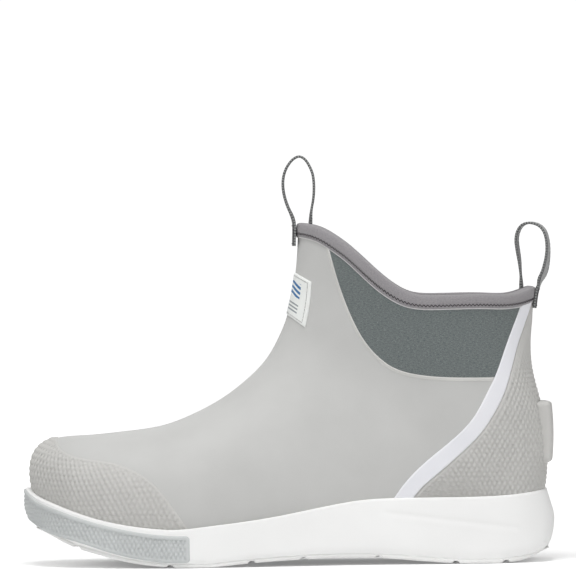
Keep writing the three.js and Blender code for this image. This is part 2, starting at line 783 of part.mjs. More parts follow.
add("outsole", makeOutsole(), FOAM);
add("midsole", makeMidsole(), FOAM);
add("toe_bumper", makeBumper(), COOL_RUBBER);
add("shank", shankBar(0), STEEL);
add("upper_shell", makeShell(), PALE_RUBBER);
add("gore_left", makeGore(outerSide), STRETCH_CLOTH);
add("gore_right", makeGore(innerSide), STRETCH_CLOTH);
add("toe_puff", makeToePuff(), STIFF_SHEET);
add("heel_counter", makeHeelCounter(), STIFF_SHEET);
add("lining", makeLining(), LINING_CLOTH);
add("insole_board", makeBoard(), BOARD_FIBRE);
add("footbed", makeFootbed(), FOAM);
add("footbed_cover", makeFootbedCover(), LINING_CLOTH);
add("toe_cap", makeToeCap(), CAP_RUBBER);
add("heel_cap", makeHeelCap(), CAP_RUBBER);
add("heel_kick_tab", makeKickTab(), CAP_RUBBER);
add("side_stripe_left", makeStripe(outerSide), WHITE);
add("side_stripe_right", makeStripe(innerSide), WHITE);
add("front_label", makeLabel(), WHITE);
add("collar_binding", makeBinding(), TAPE);
add("collar_stitching_left", makeStitching(outerSide), TAPE);
add("collar_stitching_right", makeStitching(innerSide), TAPE);
add("front_loop_outer_tab", makeTab(FRONT_LOOP, tabOuter), TAPE);
add("front_loop_inner_tab", makeTab(FRONT_LOOP, tabInner), TAPE);
add("front_pull_loop", makeLoop(FRONT_LOOP), TAPE);
add("rear_loop_outer_tab", makeTab(REAR_LOOP, tabOuter), TAPE);
add("rear_loop_inner_tab", makeTab(REAR_LOOP, tabInner), TAPE);
add("rear_pull_loop", makeLoop(REAR_LOOP), TAPE);

export default boot;
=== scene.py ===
"""The looks of a slip-on ankle deck boot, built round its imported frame.

Shapes are worked out in millimetres and put into meshes in metres. +X is towards the toe, +Y is the
outer side of the left foot and +Z is up.
"""
import math

import bpy
import numpy as np
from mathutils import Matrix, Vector


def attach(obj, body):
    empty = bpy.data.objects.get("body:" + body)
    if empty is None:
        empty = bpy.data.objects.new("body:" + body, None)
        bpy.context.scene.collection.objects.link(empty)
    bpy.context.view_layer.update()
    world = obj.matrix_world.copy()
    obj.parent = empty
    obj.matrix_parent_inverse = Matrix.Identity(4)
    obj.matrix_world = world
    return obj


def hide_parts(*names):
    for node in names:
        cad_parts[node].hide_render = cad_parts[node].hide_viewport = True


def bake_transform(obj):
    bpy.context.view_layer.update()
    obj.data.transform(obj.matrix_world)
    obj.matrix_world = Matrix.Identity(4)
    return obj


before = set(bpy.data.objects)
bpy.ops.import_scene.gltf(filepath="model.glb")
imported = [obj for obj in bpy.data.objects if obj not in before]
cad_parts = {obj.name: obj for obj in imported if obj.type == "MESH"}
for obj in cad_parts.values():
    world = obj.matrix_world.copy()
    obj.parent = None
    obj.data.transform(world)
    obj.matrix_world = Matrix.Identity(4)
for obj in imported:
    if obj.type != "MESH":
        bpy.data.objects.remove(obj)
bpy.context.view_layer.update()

MM = 0.001

# ---- Sizes, in millimetres ----
SHELL = 1.5  # rubber upper
LINING_OUT = -2.9  # faces of the lining, from the upper's face
LINING_IN = -4.3
CAP = 1.25  # how far the toe and heel caps stand out
CAP_TUCK = 6  # how far they run down behind the foam's edge
SCALE_WIDTH, SCALE_HEIGHT, SCALE_DEPTH = 3.0, 5.2, 1.2  # a moulded scale
STRIPE = 0.9
RIM = 0.8  # lip of cut rubber round the gore
COLLAR_TUCK = 6  # how far below the collar's edge things end, under the binding
LABEL_WIDTH, LABEL_HEIGHT = 32, 26
LABEL_FOOT, LABEL_HEAD = 131.8, 157.2  # heights of its side edges' ends
WEBBING = 1.3
HALF_WEBBING = 7.0  # half its width
BUMPER_PROUD = 1.0
BUMPER_BACK = 55.8  # where the bumper's two ends are
BUMPER_SINK = 1.6  # how far its back face is sunk in the foam
DIAMOND_WIDTH, DIAMOND_HEIGHT, DIAMOND_DEPTH = 2.6, 4.8, 1.0  # a diamond of the bumper
OUTSOLE = 2.4
OUTSOLE_ENDS = (-144, 142)
GROOVE_DEPTH = 1.3
CUT_PITCH, CUT_DEPTH = 5.2, 0.45  # fine cuts between the grooves
TIP_TUCK = 5  # how far the foam's wall is tucked in under the sole's tips
PIPING_RADIUS = 0.5
THREAD_RADIUS = 0.26


# ---- Curves ----
def spline(knots, values):
    """Natural cubic spline through values at knots, level beyond both ends."""
    knots = np.asarray(knots, float)
    values = np.asarray(values, float)
    flat = values.reshape(len(knots), -1)
    gaps = np.diff(knots)
    system = np.eye(len(knots))
    turn = np.zeros_like(flat)
    for i in range(1, len(knots) - 1):
        system[i, i - 1 : i + 2] = gaps[i - 1], 2 * (gaps[i - 1] + gaps[i]), gaps[i]
        turn[i] = 6 * ((flat[i + 1] - flat[i]) / gaps[i] - (flat[i] - flat[i - 1]) / gaps[i - 1])
    bend = np.linalg.solve(system, turn)

    def curve(at):
        x = np.clip(np.asarray(at, float), knots[0], knots[-1])
        i = np.clip(np.searchsorted(knots, x, side="right") - 1, 0, len(knots) - 2)
        step = gaps[i][..., None]
        a = (knots[i + 1] - x)[..., None] / step
        b = 1 - a
        lift = ((a**3 - a) * bend[i] + (b**3 - b) * bend[i + 1]) * step**2 / 6
        found = a * flat[i] + b * flat[i + 1] + lift
        return found.reshape(x.shape + values.shape[1:])

    return curve


def profile(points):
    """Height against x, through side view points given from back to front."""
    points = np.asarray(points, float)
    return spline(points[:, 0], points[:, 1])


def lengths(line):
    """Distance along a line of points to each of them."""
    return np.concatenate([[0], np.cumsum(np.linalg.norm(np.diff(line, axis=0), axis=1))])


def points_at(line, at, measure):
    """Points of a line at places on a measure that has one number for each of its points."""
    return np.stack([np.interp(at, measure, line[:, k]) for k in range(line.shape[1])], axis=1)


def route(points, count):
    """A smooth line through points in any order, as count points at even distances."""
    points = np.asarray(points, float)
    chord = lengths(points)
    fine = spline(chord, points)(np.linspace(0, chord[-1], 40 * len(points)))
    length = lengths(fine)
    return points_at(fine, np.linspace(0, length[-1], count), length)


def smoothstep(low, high, value):
    """0 below low, 1 above high, and 3t^2 - 2t^3 between them."""
    t = np.clip((value - low) / (high - low), 0, 1)
    return t * t * (3 - 2 * t)


def mix(a, b, share):
    """a at share 0 and b at share 1."""
    return a + (b - a) * share


def rounded(depth, radius):
    """Height 0 to 1 of a round edge: sqrt(t (2 - t)), where t is depth / radius held to 0 to 1."""
    t = np.clip(depth / radius, 0, 1)
    return np.sqrt(t * (2 - t))


def past_corner(a, b, radius):
    """Distance out past a round corner, where a and b are distances out past its centre on each axis."""
    return np.hypot(np.maximum(a, 0), np.maximum(b, 0)) + np.minimum(np.maximum(a, b), 0) - radius


def side_distance(line, x, z):
    """Distance from (x, z) to an open line, positive on the line's left."""
    line = np.asarray(line, float)
    start, run = line[:-1], np.diff(line, axis=0)
    px = np.asarray(x, float)[..., None] - start[:, 0]
    pz = np.asarray(z, float)[..., None] - start[:, 1]
    along = np.clip((px * run[:, 0] + pz * run[:, 1]) / (run**2).sum(axis=1), 0, 1)
    dx, dz = px - along * run[:, 0], pz - along * run[:, 1]
    far = np.hypot(dx, dz)
    nearest = far.argmin(axis=-1)[..., None]
    turn = np.take_along_axis(run[:, 0] * pz - run[:, 1] * px, nearest, -1)[..., 0]
    return np.take_along_axis(far, nearest, -1)[..., 0] * np.where(turn >= 0, 1, -1)


# ---- The upper's form ----
# Each station is a flat section from a point on the top line (toe, instep and shin) to one on the
# bottom line (sole and back of the heel). Columns: top x and z; bottom x and z; y of the centre, the
# outer side and the inner side; the share of the width kept at the bottom; how far down it is
# widest; and the power of its rounding above and below that.
UPPER_STATIONS = [
    (145.4, 52, 145.4, 52, -8, -7.5, -8.5, 0.5, 0.5, 2.1, 2.3),
    (144.2, 60, 144.2, 43.5, -8, 4.5, -19.5, 0.35, 0.55, 2.2, 2.4),
    (139.4, 67, 139.6, 35.2, -8, 13.8, -26.6, 0.5, 0.6, 2.3, 2.5),
    (128.6, 71.4, 128.8, 26.8, -7.5, 25.2, -34.6, 0.62, 0.66, 2.3, 2.5),
    (112, 72.6, 112, 20, -6, 35.6, -41.2, 0.7, 0.69, 2.3, 2.5),
    (91, 74.6, 89, 15.4, -4.5, 42.4, -44.8, 0.72, 0.71, 2.25, 2.5),
    (70, 77.9, 62, 13.4, -3, 45.4, -44.4, 0.72, 0.72, 2.2, 2.5),
    (51, 85.3, 30, 15.6, -1.5, 44.6, -39.6, 0.72, 0.72, 2.1, 2.5),
    (36, 93.6, -6, 21.6, -0.5, 40.6, -34, 0.72, 0.7, 2.05, 2.5),
    (22.5, 104, -44, 27.2, 0, 37, -32, 0.72, 0.66, 2, 2.5),
    (12.4, 114.6, -84, 28, 0, 35, -32.4, 0.72, 0.62, 2, 2.5),
    (6, 125.5, -120, 28.4, 0, 33.4, -32.6, 0.64, 0.6, 2, 2.5),
    (2, 134.5, -137.6, 32.5, 0, 33.2, -32.9, 0.3, 0.58, 2, 2.5),
    (-0.6, 143, -142.5, 46, 0, 33.8, -33.6, 0.02, 0.57, 2, 2.5),
    (-2.6, 152, -143.1, 62, 0, 34.6, -34.5, 0.02, 0.56, 2, 2.45),
    (-4.2, 162, -140.7, 84, 0, 35.4, -35.4, 0.02, 0.54, 2, 2.35),
    (-5.2, 172, -135.7, 105, 0, 36.2, -36.2, 0.02, 0.52, 2, 2.2),
    (-5.8, 182, -134.4, 124, 0, 36.8, -36.8, 0.02, 0.5, 2, 2.1),
    (-6.2, 193, -136.7, 144, 0, 37, -37, 0.02, 0.5, 2, 2),
    (-6.5, 205, -139.4, 164, 0, 37, -37, 0.02, 0.5, 2, 2),
]
LAST_STATION = len(UPPER_STATIONS) - 1
upper_stations = spline(range(LAST_STATION + 1), UPPER_STATIONS)
COLLAR_LINE = [
    (-152, 155.5), (-137, 153.8), (-128, 151), (-110, 150.4), (-80, 150.3), (-69, 151.6), (-60, 156.2),
    (-51, 163.3), (-36, 176.9), (-27, 183.5), (-17.5, 188.6), (-7, 191), (8, 191.4),
]
collar = profile(COLLAR_LINE)


def upper_point(u, angle):
    """Point of the upper's outer face at station u.

    angle is 0 on the top line and pi on the bottom line, positive on the outer side and negative on
    the inner. The section is a superellipse: the drop down its line goes as |cos|^(2/power) and the
    swing out to the side as sin^(2/power).
    """
    u, angle = np.broadcast_arrays(np.asarray(u, float), np.asarray(angle, float))
    columns = np.moveaxis(upper_stations(u), -1, 0)
    top_x, top_z, low_x, low_z, centre, outer, inner, flat, widest, above, below = columns
    reach = np.where(angle >= 0, outer, inner) - centre
    turn = np.abs(np.cos(angle))
    swell = np.maximum(np.sin(np.abs(angle)), 0)
    high = np.abs(angle) <= np.pi / 2
    down = np.where(high, widest * (1 - turn ** (2 / above)), widest + (1 - widest) * turn ** (2 / below))
    out = np.where(high, swell ** (2 / above), flat + (1 - flat) * swell ** (2 / below))
    return np.stack([mix(top_x, low_x, down), centre + reach * out, mix(top_z, low_z, down)], axis=-1)


def upper_normal(u, angle):
    """Outward unit normal there, from the cross product of two small steps."""
    u, angle = np.broadcast_arrays(np.asarray(u, float), np.asarray(angle, float))
    step = 0.01
    ahead, behind = np.minimum(u + step, LAST_STATION), np.maximum(u - step, step)
    back = upper_point(ahead, angle) - upper_point(behind, angle)
    size = np.clip(np.abs(angle), step, np.pi - step)
    sign = np.where(angle >= 0, 1.0, -1.0)
    fall = upper_point(u, sign * (size + step)) - upper_point(u, sign * (size - step))
    normal = -np.cross(back, fall) * sign[..., None]
    on_top_line = (np.abs(angle) < step)[..., None]
    normal = np.where(on_top_line, normal * [1, 0, 1], normal)
    return normal / np.linalg.norm(normal, axis=-1, keepdims=True)


def upper_face(u, angle, offset):
    """Point of the upper's face, moved out along its normal by offset."""
    return upper_point(u, angle) + upper_normal(u, angle) * np.asarray(offset, float)[..., None]


def station_through(x, z):
    """(station, angle) where the upper shows side view point (x, z).

    The station's line passes through the point, found by halving the range of u. The angle then
    undoes the superellipse's drop.
    """
    x, z = np.broadcast_arrays(np.asarray(x, float), np.asarray(z, float))
    low, high = np.full(x.shape, 0.05), np.full(x.shape, float(LAST_STATION))
    for _ in range(36):
        middle = (low + high) / 2
        top_x, top_z, low_x, low_z = np.moveaxis(upper_stations(middle), -1, 0)[:4]
        ahead = (low_x - top_x) * (z - top_z) - (low_z - top_z) * (x - top_x)
        low, high = np.where(ahead < 0, middle, low), np.where(ahead < 0, high, middle)
    columns = np.moveaxis(upper_stations(low), -1, 0)
    top_x, top_z, low_x, low_z = columns[:4]
    widest, above, below = columns[8:]
    run_x, run_z = low_x - top_x, low_z - top_z
    down = np.clip(((x - top_x) * run_x + (z - top_z) * run_z) / (run_x**2 + run_z**2), 0, 1)
    turn_high = np.clip(1 - down / widest, 0, 1) ** (above / 2)
    turn_low = np.clip((down - widest) / (1 - widest), 0, 1) ** (below / 2)
    angle = np.where(down < widest, np.arccos(turn_high), np.pi - np.arccos(turn_low))
    return low, angle


def collar_gap(x, z):
    """Distance above the collar line, measured square to it."""
    slope = collar(x + 0.5) - collar(x - 0.5)
    return (z - collar(x)) / np.hypot(1, slope)


def below_collar(line, tuck):
    """The points of a side view line that are more than tuck below the collar's edge."""
    return line[collar_gap(*line.T) < -tuck]


def collar_station(angle, drop):
    """Station where the upper's face is drop below the collar line, by halving the range of u."""
    angle, drop = np.broadcast_arrays(np.asarray(angle, float), np.asarray(drop, float))
    low, high = np.full(angle.shape, 11.0), np.full(angle.shape, float(LAST_STATION))
    for _ in range(34):
        middle = (low + high) / 2
        at = upper_point(middle, angle)
        above = collar_gap(at[..., 0], at[..., 2]) > -drop
        low, high = np.where(above, low, middle), np.where(above, middle, high)
    return low


# ---- The sole's form ----
# Columns: x, y of the outer and inner edge, and how far the wall leans in at the top.
SOLE_STATIONS = [
    (-150, 0, 0, 6.5),
    (-147.2, 14.5, -14.5, 6.3),
    (-139, 26.5, -26.3, 5.6),
    (-124.5, 35, -34.6, 4.6),
    (-103, 38.3, -37.6, 3.6),
    (-73, 38.8, -36.6, 3),
    (-40, 39.8, -35, 2.8),
    (-8, 44, -37.2, 2.6),
    (22, 48.8, -42.6, 2.4),
    (48, 51, -48, 2.2),
    (72, 50.6, -51, 2),
    (94, 46.3, -50.4, 1.8),
    (113, 40.2, -46.8, 1.5),
    (129, 31.2, -40.5, 1.2),
    (140.6, 18.6, -31, 0.8),
    (147, 5, -20, 0.5),
    (149, -8, -8, 0.5),
]
TREAD_LINE = [
    (-150, 18), (-147, 10.8), (-141.7, 6.7), (-135, 3.6), (-127.6, 1.4), (-117.8, 0.2),
    (-106.3, -0.3), (-90.3, 0.4), (-70.7, 2), (-45, 4), (-25.9, 4.3), (-2.4, 3.6),
    (24.2, 2), (36.8, 0.8), (49.1, -0.5), (60.3, -0.2), (77.1, 1.3), (90.6, 3.4),
    (107.9, 7.8), (125.3, 13.7), (140.5, 20.8), (146.6, 25.1), (149.4, 31),
]
FOAM_LINE = [
    (-150, 42.5), (-141.7, 40.2), (-122.2, 37.7), (-57.6, 36.8), (-41.8, 36.1), (-18.1, 32.5),
    (13.3, 26.8), (49.1, 22.4), (62.6, 21.2), (75.4, 21.7), (89.7, 23.4), (104, 26.1),
    (127, 32.9), (137.6, 36.8), (145.8, 41), (149.5, 44.2),
]
LAST_SOLE = len(SOLE_STATIONS) - 1
sole_stations = spline(range(LAST_SOLE + 1), SOLE_STATIONS)
tread_line = profile(TREAD_LINE)
foam_edge = profile(FOAM_LINE)


def tread(x):
    """Height of the outsole's underside, never below the floor."""
    return np.maximum(tread_line(x), 0)


def sole_edge(u, side):
    """Plan view point of the sole's outline at station u, on the outer (+1) or inner (-1) side."""
    x, outer, inner, _ = np.moveaxis(sole_stations(u), -1, 0)
    return np.stack([x, np.where(side > 0, outer, inner)], axis=-1)


def sole_route(count):
    """(u, side) at count places evenly spaced round the sole's outline, from the heel's tip."""
    fine = np.linspace(0, LAST_SOLE, 4000)
    u = np.concatenate([fine, fine[::-1]])
    side = np.repeat([1.0, -1.0], len(fine))
    edge = sole_edge(u, side)
    length = lengths(edge)
    at = np.linspace(0, length[-1], count, endpoint=False)
    place = np.interp(at, length, np.arange(len(u)))
    return np.interp(place, np.arange(len(u)), u), np.where(place < len(fine) - 0.5, 1.0, -1.0)


def sole_out(u, side):
    """Plan view unit normal of the sole's outline, pointing out."""
    step = 0.03
    ahead = sole_edge(np.minimum(u + step, LAST_SOLE), side) - sole_edge(np.maximum(u - step, 0), side)
    out = np.stack([-ahead[..., 1], ahead[..., 0]], axis=-1) * np.asarray(side)[..., None]
    for at_tip, way in ((u < step / 3, -1.0), (u > LAST_SOLE - step / 3, 1.0)):
        out = np.where(at_tip[..., None], [way, 0.0], out)
    return out / np.linalg.norm(out, axis=-1, keepdims=True)


# ---- Meshes ----
def grid_faces(rows, columns, closed=False, start=0):
    """Corner numbers of the quads of a grid that is stored row by row from number start."""
    across = columns if closed else columns - 1
    i, j = np.meshgrid(np.arange(rows - 1), np.arange(across), indexing="ij")
    k = (j + 1) % columns
    row, next_row = i * columns, (i + 1) * columns
    return np.stack([row + j, row + k, next_row + k, next_row + j], axis=-1).reshape(-1, 4) + start


def add_piece(name, points, faces, look, uv=None):
    """A mesh object from points in millimetres and lists of corner numbers, shaded smooth."""
    mesh = bpy.data.meshes.new(name)
    mesh.from_pydata((np.asarray(points) * MM).tolist(), [], [list(f) for f in faces])
    mesh.polygons.foreach_set("use_smooth", np.ones(len(mesh.polygons), bool))
    if uv is not None:
        corner = np.empty(len(mesh.loops), np.int32)
        mesh.loops.foreach_get("vertex_index", corner)
        layer = mesh.uv_layers.new(name="cloth")
        layer.data.foreach_set("uv", np.asarray(uv, np.float32)[corner].ravel())
    mesh.update()
    piece = bpy.data.objects.new(name, mesh)
    bpy.context.scene.collection.objects.link(piece)
    mesh.materials.append(look)
    return piece


def sheet_piece(name, grid, look, closed=False, keep=None, uv=None, flip=False):
    """One surface over a grid of points. keep marks the points whose faces stay.

    When closed, its rows are rings and the first one, which keeps all its points, is covered.
    """
    rows, columns = grid.shape[:2]
    faces = grid_faces(rows, columns, closed)
    if keep is not None:
        faces = faces[keep.reshape(-1)[faces].any(axis=1)]
    if flip:
        faces = faces[:, ::-1]
    used, faces = np.unique(faces, return_inverse=True)
    faces = faces.reshape(-1, 4).tolist()
    if closed:
        faces.append(list(range(columns)) if flip else list(range(columns))[::-1])
    flat_uv = None if uv is None else uv.reshape(-1, 2)[used]
    return add_piece(name, grid.reshape(-1, 3)[used], faces, look, flat_uv)


def wall_faces(edge_a, edge_b):
    """Quads that join two lists of corner numbers."""
    a, b = np.asarray(edge_a), np.asarray(edge_b)
    return np.stack([a[:-1], a[1:], b[1:], b[:-1]], axis=-1)


def slab_piece(name, face, back, look, uv=None, flip=False):
    """A closed body between two open grids of the same size, joined round their four edges."""
    rows, columns = face.shape[:2]
    count = rows * columns
    number = np.arange(count).reshape(rows, columns)
    edges = [number[0], number[1:, -1], number[-1, -2::-1], number[-2:0:-1, 0], number[0, :1]]
    border = np.concatenate(edges)
    back_faces = grid_faces(rows, columns, start=count)[:, ::-1]
    walls = wall_faces(border, border + count)[:, ::-1]
    faces = np.concatenate([grid_faces(rows, columns), back_faces, walls])
    if flip:
        faces = faces[:, ::-1]
    points = np.concatenate([face.reshape(-1, 3), back.reshape(-1, 3)])
    both = None if uv is None else np.concatenate([uv.reshape(-1, 2)] * 2)
    return add_piece(name, points, faces.tolist(), look, both)


def ring_piece(name, grid, look, uv=None, flip=False, tube=False):
    """A closed body from rings of points, stacked row by row, capped with a fan at both ends.

    With tube, the last ring joins the first instead, as in a hoop.
    """
    rows, columns = grid.shape[:2]
    faces = grid_faces(rows, columns, closed=True)
    points = grid.reshape(-1, 3)
    if tube:
        last, first = (rows - 1) * columns + np.arange(columns), np.arange(columns)
        hoop = np.stack([last, np.roll(last, -1), np.roll(first, -1), first], axis=-1)
        faces = np.concatenate([faces, hoop])
    if flip:
        faces = faces[:, ::-1]
    faces = faces.tolist()
    if not tube:
        points = np.concatenate([points, grid[0].mean(axis=0)[None], grid[-1].mean(axis=0)[None]])
        for ring, middle, turned in ((0, rows * columns, True), (rows - 1, rows * columns + 1, False)):
            a = ring * columns + np.arange(columns)
            fan = np.stack([a, np.roll(a, -1), np.full(columns, middle)], axis=-1)
            faces += (fan[:, ::-1] if turned != flip else fan).tolist()
        if uv is not None:
            uv = np.concatenate([uv.reshape(-1, 2), uv[0, :1], uv[-1, :1]])
    return add_piece(name, points, faces, look, None if uv is None else np.asarray(uv).reshape(-1, 2))


def tube_along(path, radius, sides=8, closed=False):
    """Rings of a round tube along a path: each ring is square to the path's direction."""
    ahead = np.roll(path, -1, axis=0) - np.roll(path, 1, axis=0)
    if not closed:
        ahead[0], ahead[-1] = path[1] - path[0], path[-1] - path[-2]
    ahead /= np.linalg.norm(ahead, axis=1, keepdims=True)
    up = np.where(np.abs(ahead[:, 2:3]) > 0.9, [1.0, 0.0, 0.0], [0.0, 0.0, 1.0])
    across = np.cross(ahead, up)
    across /= np.linalg.norm(across, axis=1, keepdims=True)
    lift = np.cross(across, ahead)
    turn = np.linspace(0, 2 * np.pi, sides, endpoint=False)
    ring = across[:, None] * np.cos(turn)[None, :, None] + lift[:, None] * np.sin(turn)[None, :, None]
    return path[:, None] + ring * radius


# ---- Materials ----
def linear(red, green, blue):
    """Linear colour from 0-255 sRGB values, by the sRGB curve."""
    value = np.array([red, green, blue]) / 255
    found = np.where(value <= 0.04045, value / 12.92, ((value + 0.055) / 1.055) ** 2.4)
    return (*found.tolist(), 1.0)


class Look:
    """A material's nodes, added one by one. Places are Object coordinates in metres, or the UV map."""

    def __init__(self, name, roughness, **sockets):
        self.material = bpy.data.materials.new(name)
        self.material.use_nodes = True
        self.tree = self.material.node_tree
        self.shader = self.tree.nodes["Principled BSDF"]
        self.shader.inputs["Roughness"].default_value = roughness
        for socket, value in sockets.items():
            self.shader.inputs[socket.replace("_", " ")].default_value = value
        self.place = self.tree.nodes.new("ShaderNodeTexCoord")

    def join(self, value, socket):
        """Sets a socket to a number, a colour or another node's output."""
        if isinstance(value, bpy.types.NodeSocket):
            self.tree.links.new(value, socket)
        else:
            socket.default_value = value

    def at(self, x=1.0, y=1.0, z=1.0, uv=False):
        """The place on the piece, stretched along each axis."""
        node = self.tree.nodes.new("ShaderNodeMapping")
        self.join(self.place.outputs["UV" if uv else "Object"], node.inputs["Vector"])
        node.inputs["Scale"].default_value = (x, y, z)
        return node.outputs["Vector"]

    def noise(self, place, scale, detail=2.0, roughness=0.5):
        """Cloudy noise, 0 to 1, with scale clouds to a unit of place."""
        node = self.tree.nodes.new("ShaderNodeTexNoise")
        self.join(place, node.inputs["Vector"])
        node.inputs["Scale"].default_value = scale
        node.inputs["Detail"].default_value = detail
        node.inputs["Roughness"].default_value = roughness
        return node.outputs["Fac"]

    def math(self, operation, a, b=0.0, c=0.0):
        """One operation of the math node on a, b and c."""
        node = self.tree.nodes.new("ShaderNodeMath")
        node.operation = operation
        for socket, value in zip(node.inputs, (a, b, c)):
            self.join(value, socket)
        return node.outputs[0]

    def times(self, a, b):
        """The product a b."""
        return self.math("MULTIPLY", a, b)

    def sine(self, value, rate):
        """sin(rate value)."""
        return self.math("SINE", self.times(value, rate))

    def ridges(self, value, pitch):
        """Rounded ridges a pitch apart, 0.5 + 0.5 sin(2 pi value / pitch)."""
        return self.math("MULTIPLY_ADD", self.sine(value, 2 * math.pi / pitch), 0.5, 0.5)

    def between(self, value, low, high):
        """1 where value lies between low and high, otherwise 0."""
        return self.times(self.math("GREATER_THAN", value, low), self.math("LESS_THAN", value, high))

    def range(self, value, low, high, to_low=0.0, to_high=1.0):
        """A value of low becomes to_low and one of high becomes to_high, level beyond both."""
        node = self.tree.nodes.new("ShaderNodeMapRange")
        for socket, number in zip(node.inputs, (value, low, high, to_low, to_high)):
            self.join(number, socket)
        return node.outputs[0]

    def blend(self, share, a, b):
        """Colour a at share 0 and b at share 1."""
        node = self.tree.nodes.new("ShaderNodeMix")
        node.data_type = "RGBA"
        for socket, value in ((node.inputs[0], share), (node.inputs[6], a), (node.inputs[7], b)):
            self.join(value, socket)
        return node.outputs[2]

    def split(self, place):
        """The x, y and z of a place."""
        node = self.tree.nodes.new("ShaderNodeSeparateXYZ")
        self.join(place, node.inputs[0])
        return node.outputs

    def colour(self, value):
        """Sets the base colour."""
        self.join(value, self.shader.inputs["Base Color"])

    def roughness(self, value):
        """Sets the roughness."""
        self.join(value, self.shader.inputs["Roughness"])

    def bump(self, height, depth, strength=1.0):
        """Bump of a height field, depth metres deep from 0 to 1."""
        node = self.tree.nodes.new("ShaderNodeBump")
        self.join(height, node.inputs["Height"])
        node.inputs["Distance"].default_value = depth
        node.inputs["Strength"].default_value = strength
        self.join(node.outputs["Normal"], self.shader.inputs["Normal"])


def matt_rubber(name, tone, dark, roughness=0.6, grain=1400.0, depth=0.00006):
    """Moulded rubber: faint clouds of a second tone, a fine dry grain and dust in its roughness."""
    look = Look(name, roughness, Specular_IOR_Level=0.35)
    place = look.at()
    clouds = look.range(look.noise(place, 26.0, 3.0, 0.55), 0.35, 0.68)
    dust = look.noise(place, 90.0, 3.0)
    look.colour(look.blend(clouds, linear(*tone), linear(*dark)))
    look.roughness(look.range(dust, 0.3, 0.7, roughness - 0.07, roughness + 0.08))
    look.bump(look.noise(place, grain, 2.0), depth, 0.6)
    return look.material


def foam_look(name, tone, dark, pores=900.0, depth=0.00005):
    """Moulded foam: a soft skin with tiny pores, slightly yellowed in patches."""
    look = Look(name, 0.62, Specular_IOR_Level=0.3, Subsurface_Weight=0.05)
    look.shader.inputs["Subsurface Radius"].default_value = (0.002, 0.002, 0.002)
    place = look.at()
    patches = look.range(look.noise(place, 18.0, 2.0), 0.35, 0.7)
    look.colour(look.blend(patches, linear(*tone), linear(*dark)))
    skin = look.math("ADD", look.noise(place, pores, 2.0), look.noise(place, 160.0, 2.0))
    look.bump(skin, depth, 0.5)
    return look.material


def knit_cloth(name, tone, dark, pale, wale=0.9, course=0.7):
    """Stretch cloth: upright ribs crossed by rows of stitches, with streaks of paler and darker yarn, and
    painted shade in the hollows between the stitches.

    The UV map is in millimetres.
    """
    look = Look(name, 0.9, Sheen_Weight=0.25, Sheen_Roughness=0.5, Specular_IOR_Level=0.2)
    across, along, _ = look.split(look.at(uv=True))
    rib = look.sine(across, 2 * math.pi / wale)
    row = look.sine(along, 2 * math.pi / course)
    stitch = look.math("MULTIPLY_ADD", look.times(rib, row), 0.25, 0.5)
    streaks = look.noise(look.at(0.55, 2.4, 1.0, uv=True), 1.0, 3.0, 0.7)
    flecks = look.noise(look.at(1.2, 3.2, 1.0, uv=True), 1.1, 2.0, 0.8)
    base = look.blend(look.range(streaks, 0.38, 0.62), linear(*dark), linear(*tone))
    flecked = look.blend(look.range(flecks, 0.52, 0.72), base, linear(*pale))
    # Painted shade: where the stitch height is low, in the knit's hollows, the colour is darkened towards
    # the dark yarn.
    look.colour(look.blend(look.range(stitch, 0.3, 0.7, 0.25, 0.0), flecked, linear(*dark)))
    look.bump(stitch, 0.00022, 0.8)
    return look.material


def woven_tape(name, tone, dark, rib=0.8):
    """Woven tape: ribs across it, with slubs of a darker yarn, and painted shade in the hollows of the
    weave.

    The UV map is in millimetres, and its first direction runs along the tape.
    """
    look = Look(name, 0.85, Sheen_Weight=0.2, Specular_IOR_Level=0.2)
    along, across, _ = look.split(look.at(uv=True))
    weave = look.times(look.ridges(along, rib), look.ridges(across, 0.6))
    slubs = look.noise(look.at(0.8, 2.0, 1.0, uv=True), 1.0, 2.0, 0.7)
    base = look.blend(look.range(slubs, 0.35, 0.7), linear(*tone), linear(*dark))
    # Painted shade: where the weave's height is low, in its hollows, the colour is darkened towards the dark
    # yarn.
    look.colour(look.blend(look.range(weave, 0.0, 0.5, 0.4, 0.0), base, linear(*dark)))
    look.bump(weave, 0.00018, 0.7)
    return look.material


def edged_webbing(name, middle, edge):
    """Webbing woven in a herringbone, with darker edges and a line of pale picks along them, and painted
    shade in the grooves of the twill.

    The UV map is in millimetres. Its second direction is the distance from the middle of the width.
    """
    look = Look(name, 0.8, Sheen_Weight=0.15, Specular_IOR_Level=0.25)
    along, across, _ = look.split(look.at(uv=True))
    far = look.math("ABSOLUTE", across)
    twill = look.ridges(look.math("ADD", far, along), 1.1)
    border = look.range(far, HALF_WEBBING * 0.6, HALF_WEBBING * 0.68)
    shade = look.blend(border, linear(*middle), linear(*edge))
    dashes = look.range(look.sine(along, 2 * math.pi / 1.5), -0.2, 0.2)
    picks = look.times(dashes, look.range(far, HALF_WEBBING * 0.86, HALF_WEBBING * 0.9))
    # Painted shade: where the twill's height is low, in its grooves, the colour is darkened towards the edge
    # colour.
    woven = look.blend(look.range(twill, 0.0, 0.5, 0.35, 0.0), shade, linear(*edge))
    look.colour(look.blend(picks, woven, linear(150, 152, 150)))
    look.bump(twill, 0.00015, 0.7)
    return look.material


def thread_look(name, tone):
    """Twisted thread: specks of a darker shade, a fine roughness and a dull sheen."""
    look = Look(name, 0.7, Sheen_Weight=0.3)
    place = look.at()
    specks = look.range(look.noise(place, 2600.0, 2.0), 0.4, 0.6)
    darker = [0.72 * part for part in tone]
    look.colour(look.blend(specks, linear(*tone), linear(*darker)))
    look.bump(look.noise(place, 3200.0, 1.0), 0.00006)
    return look.material


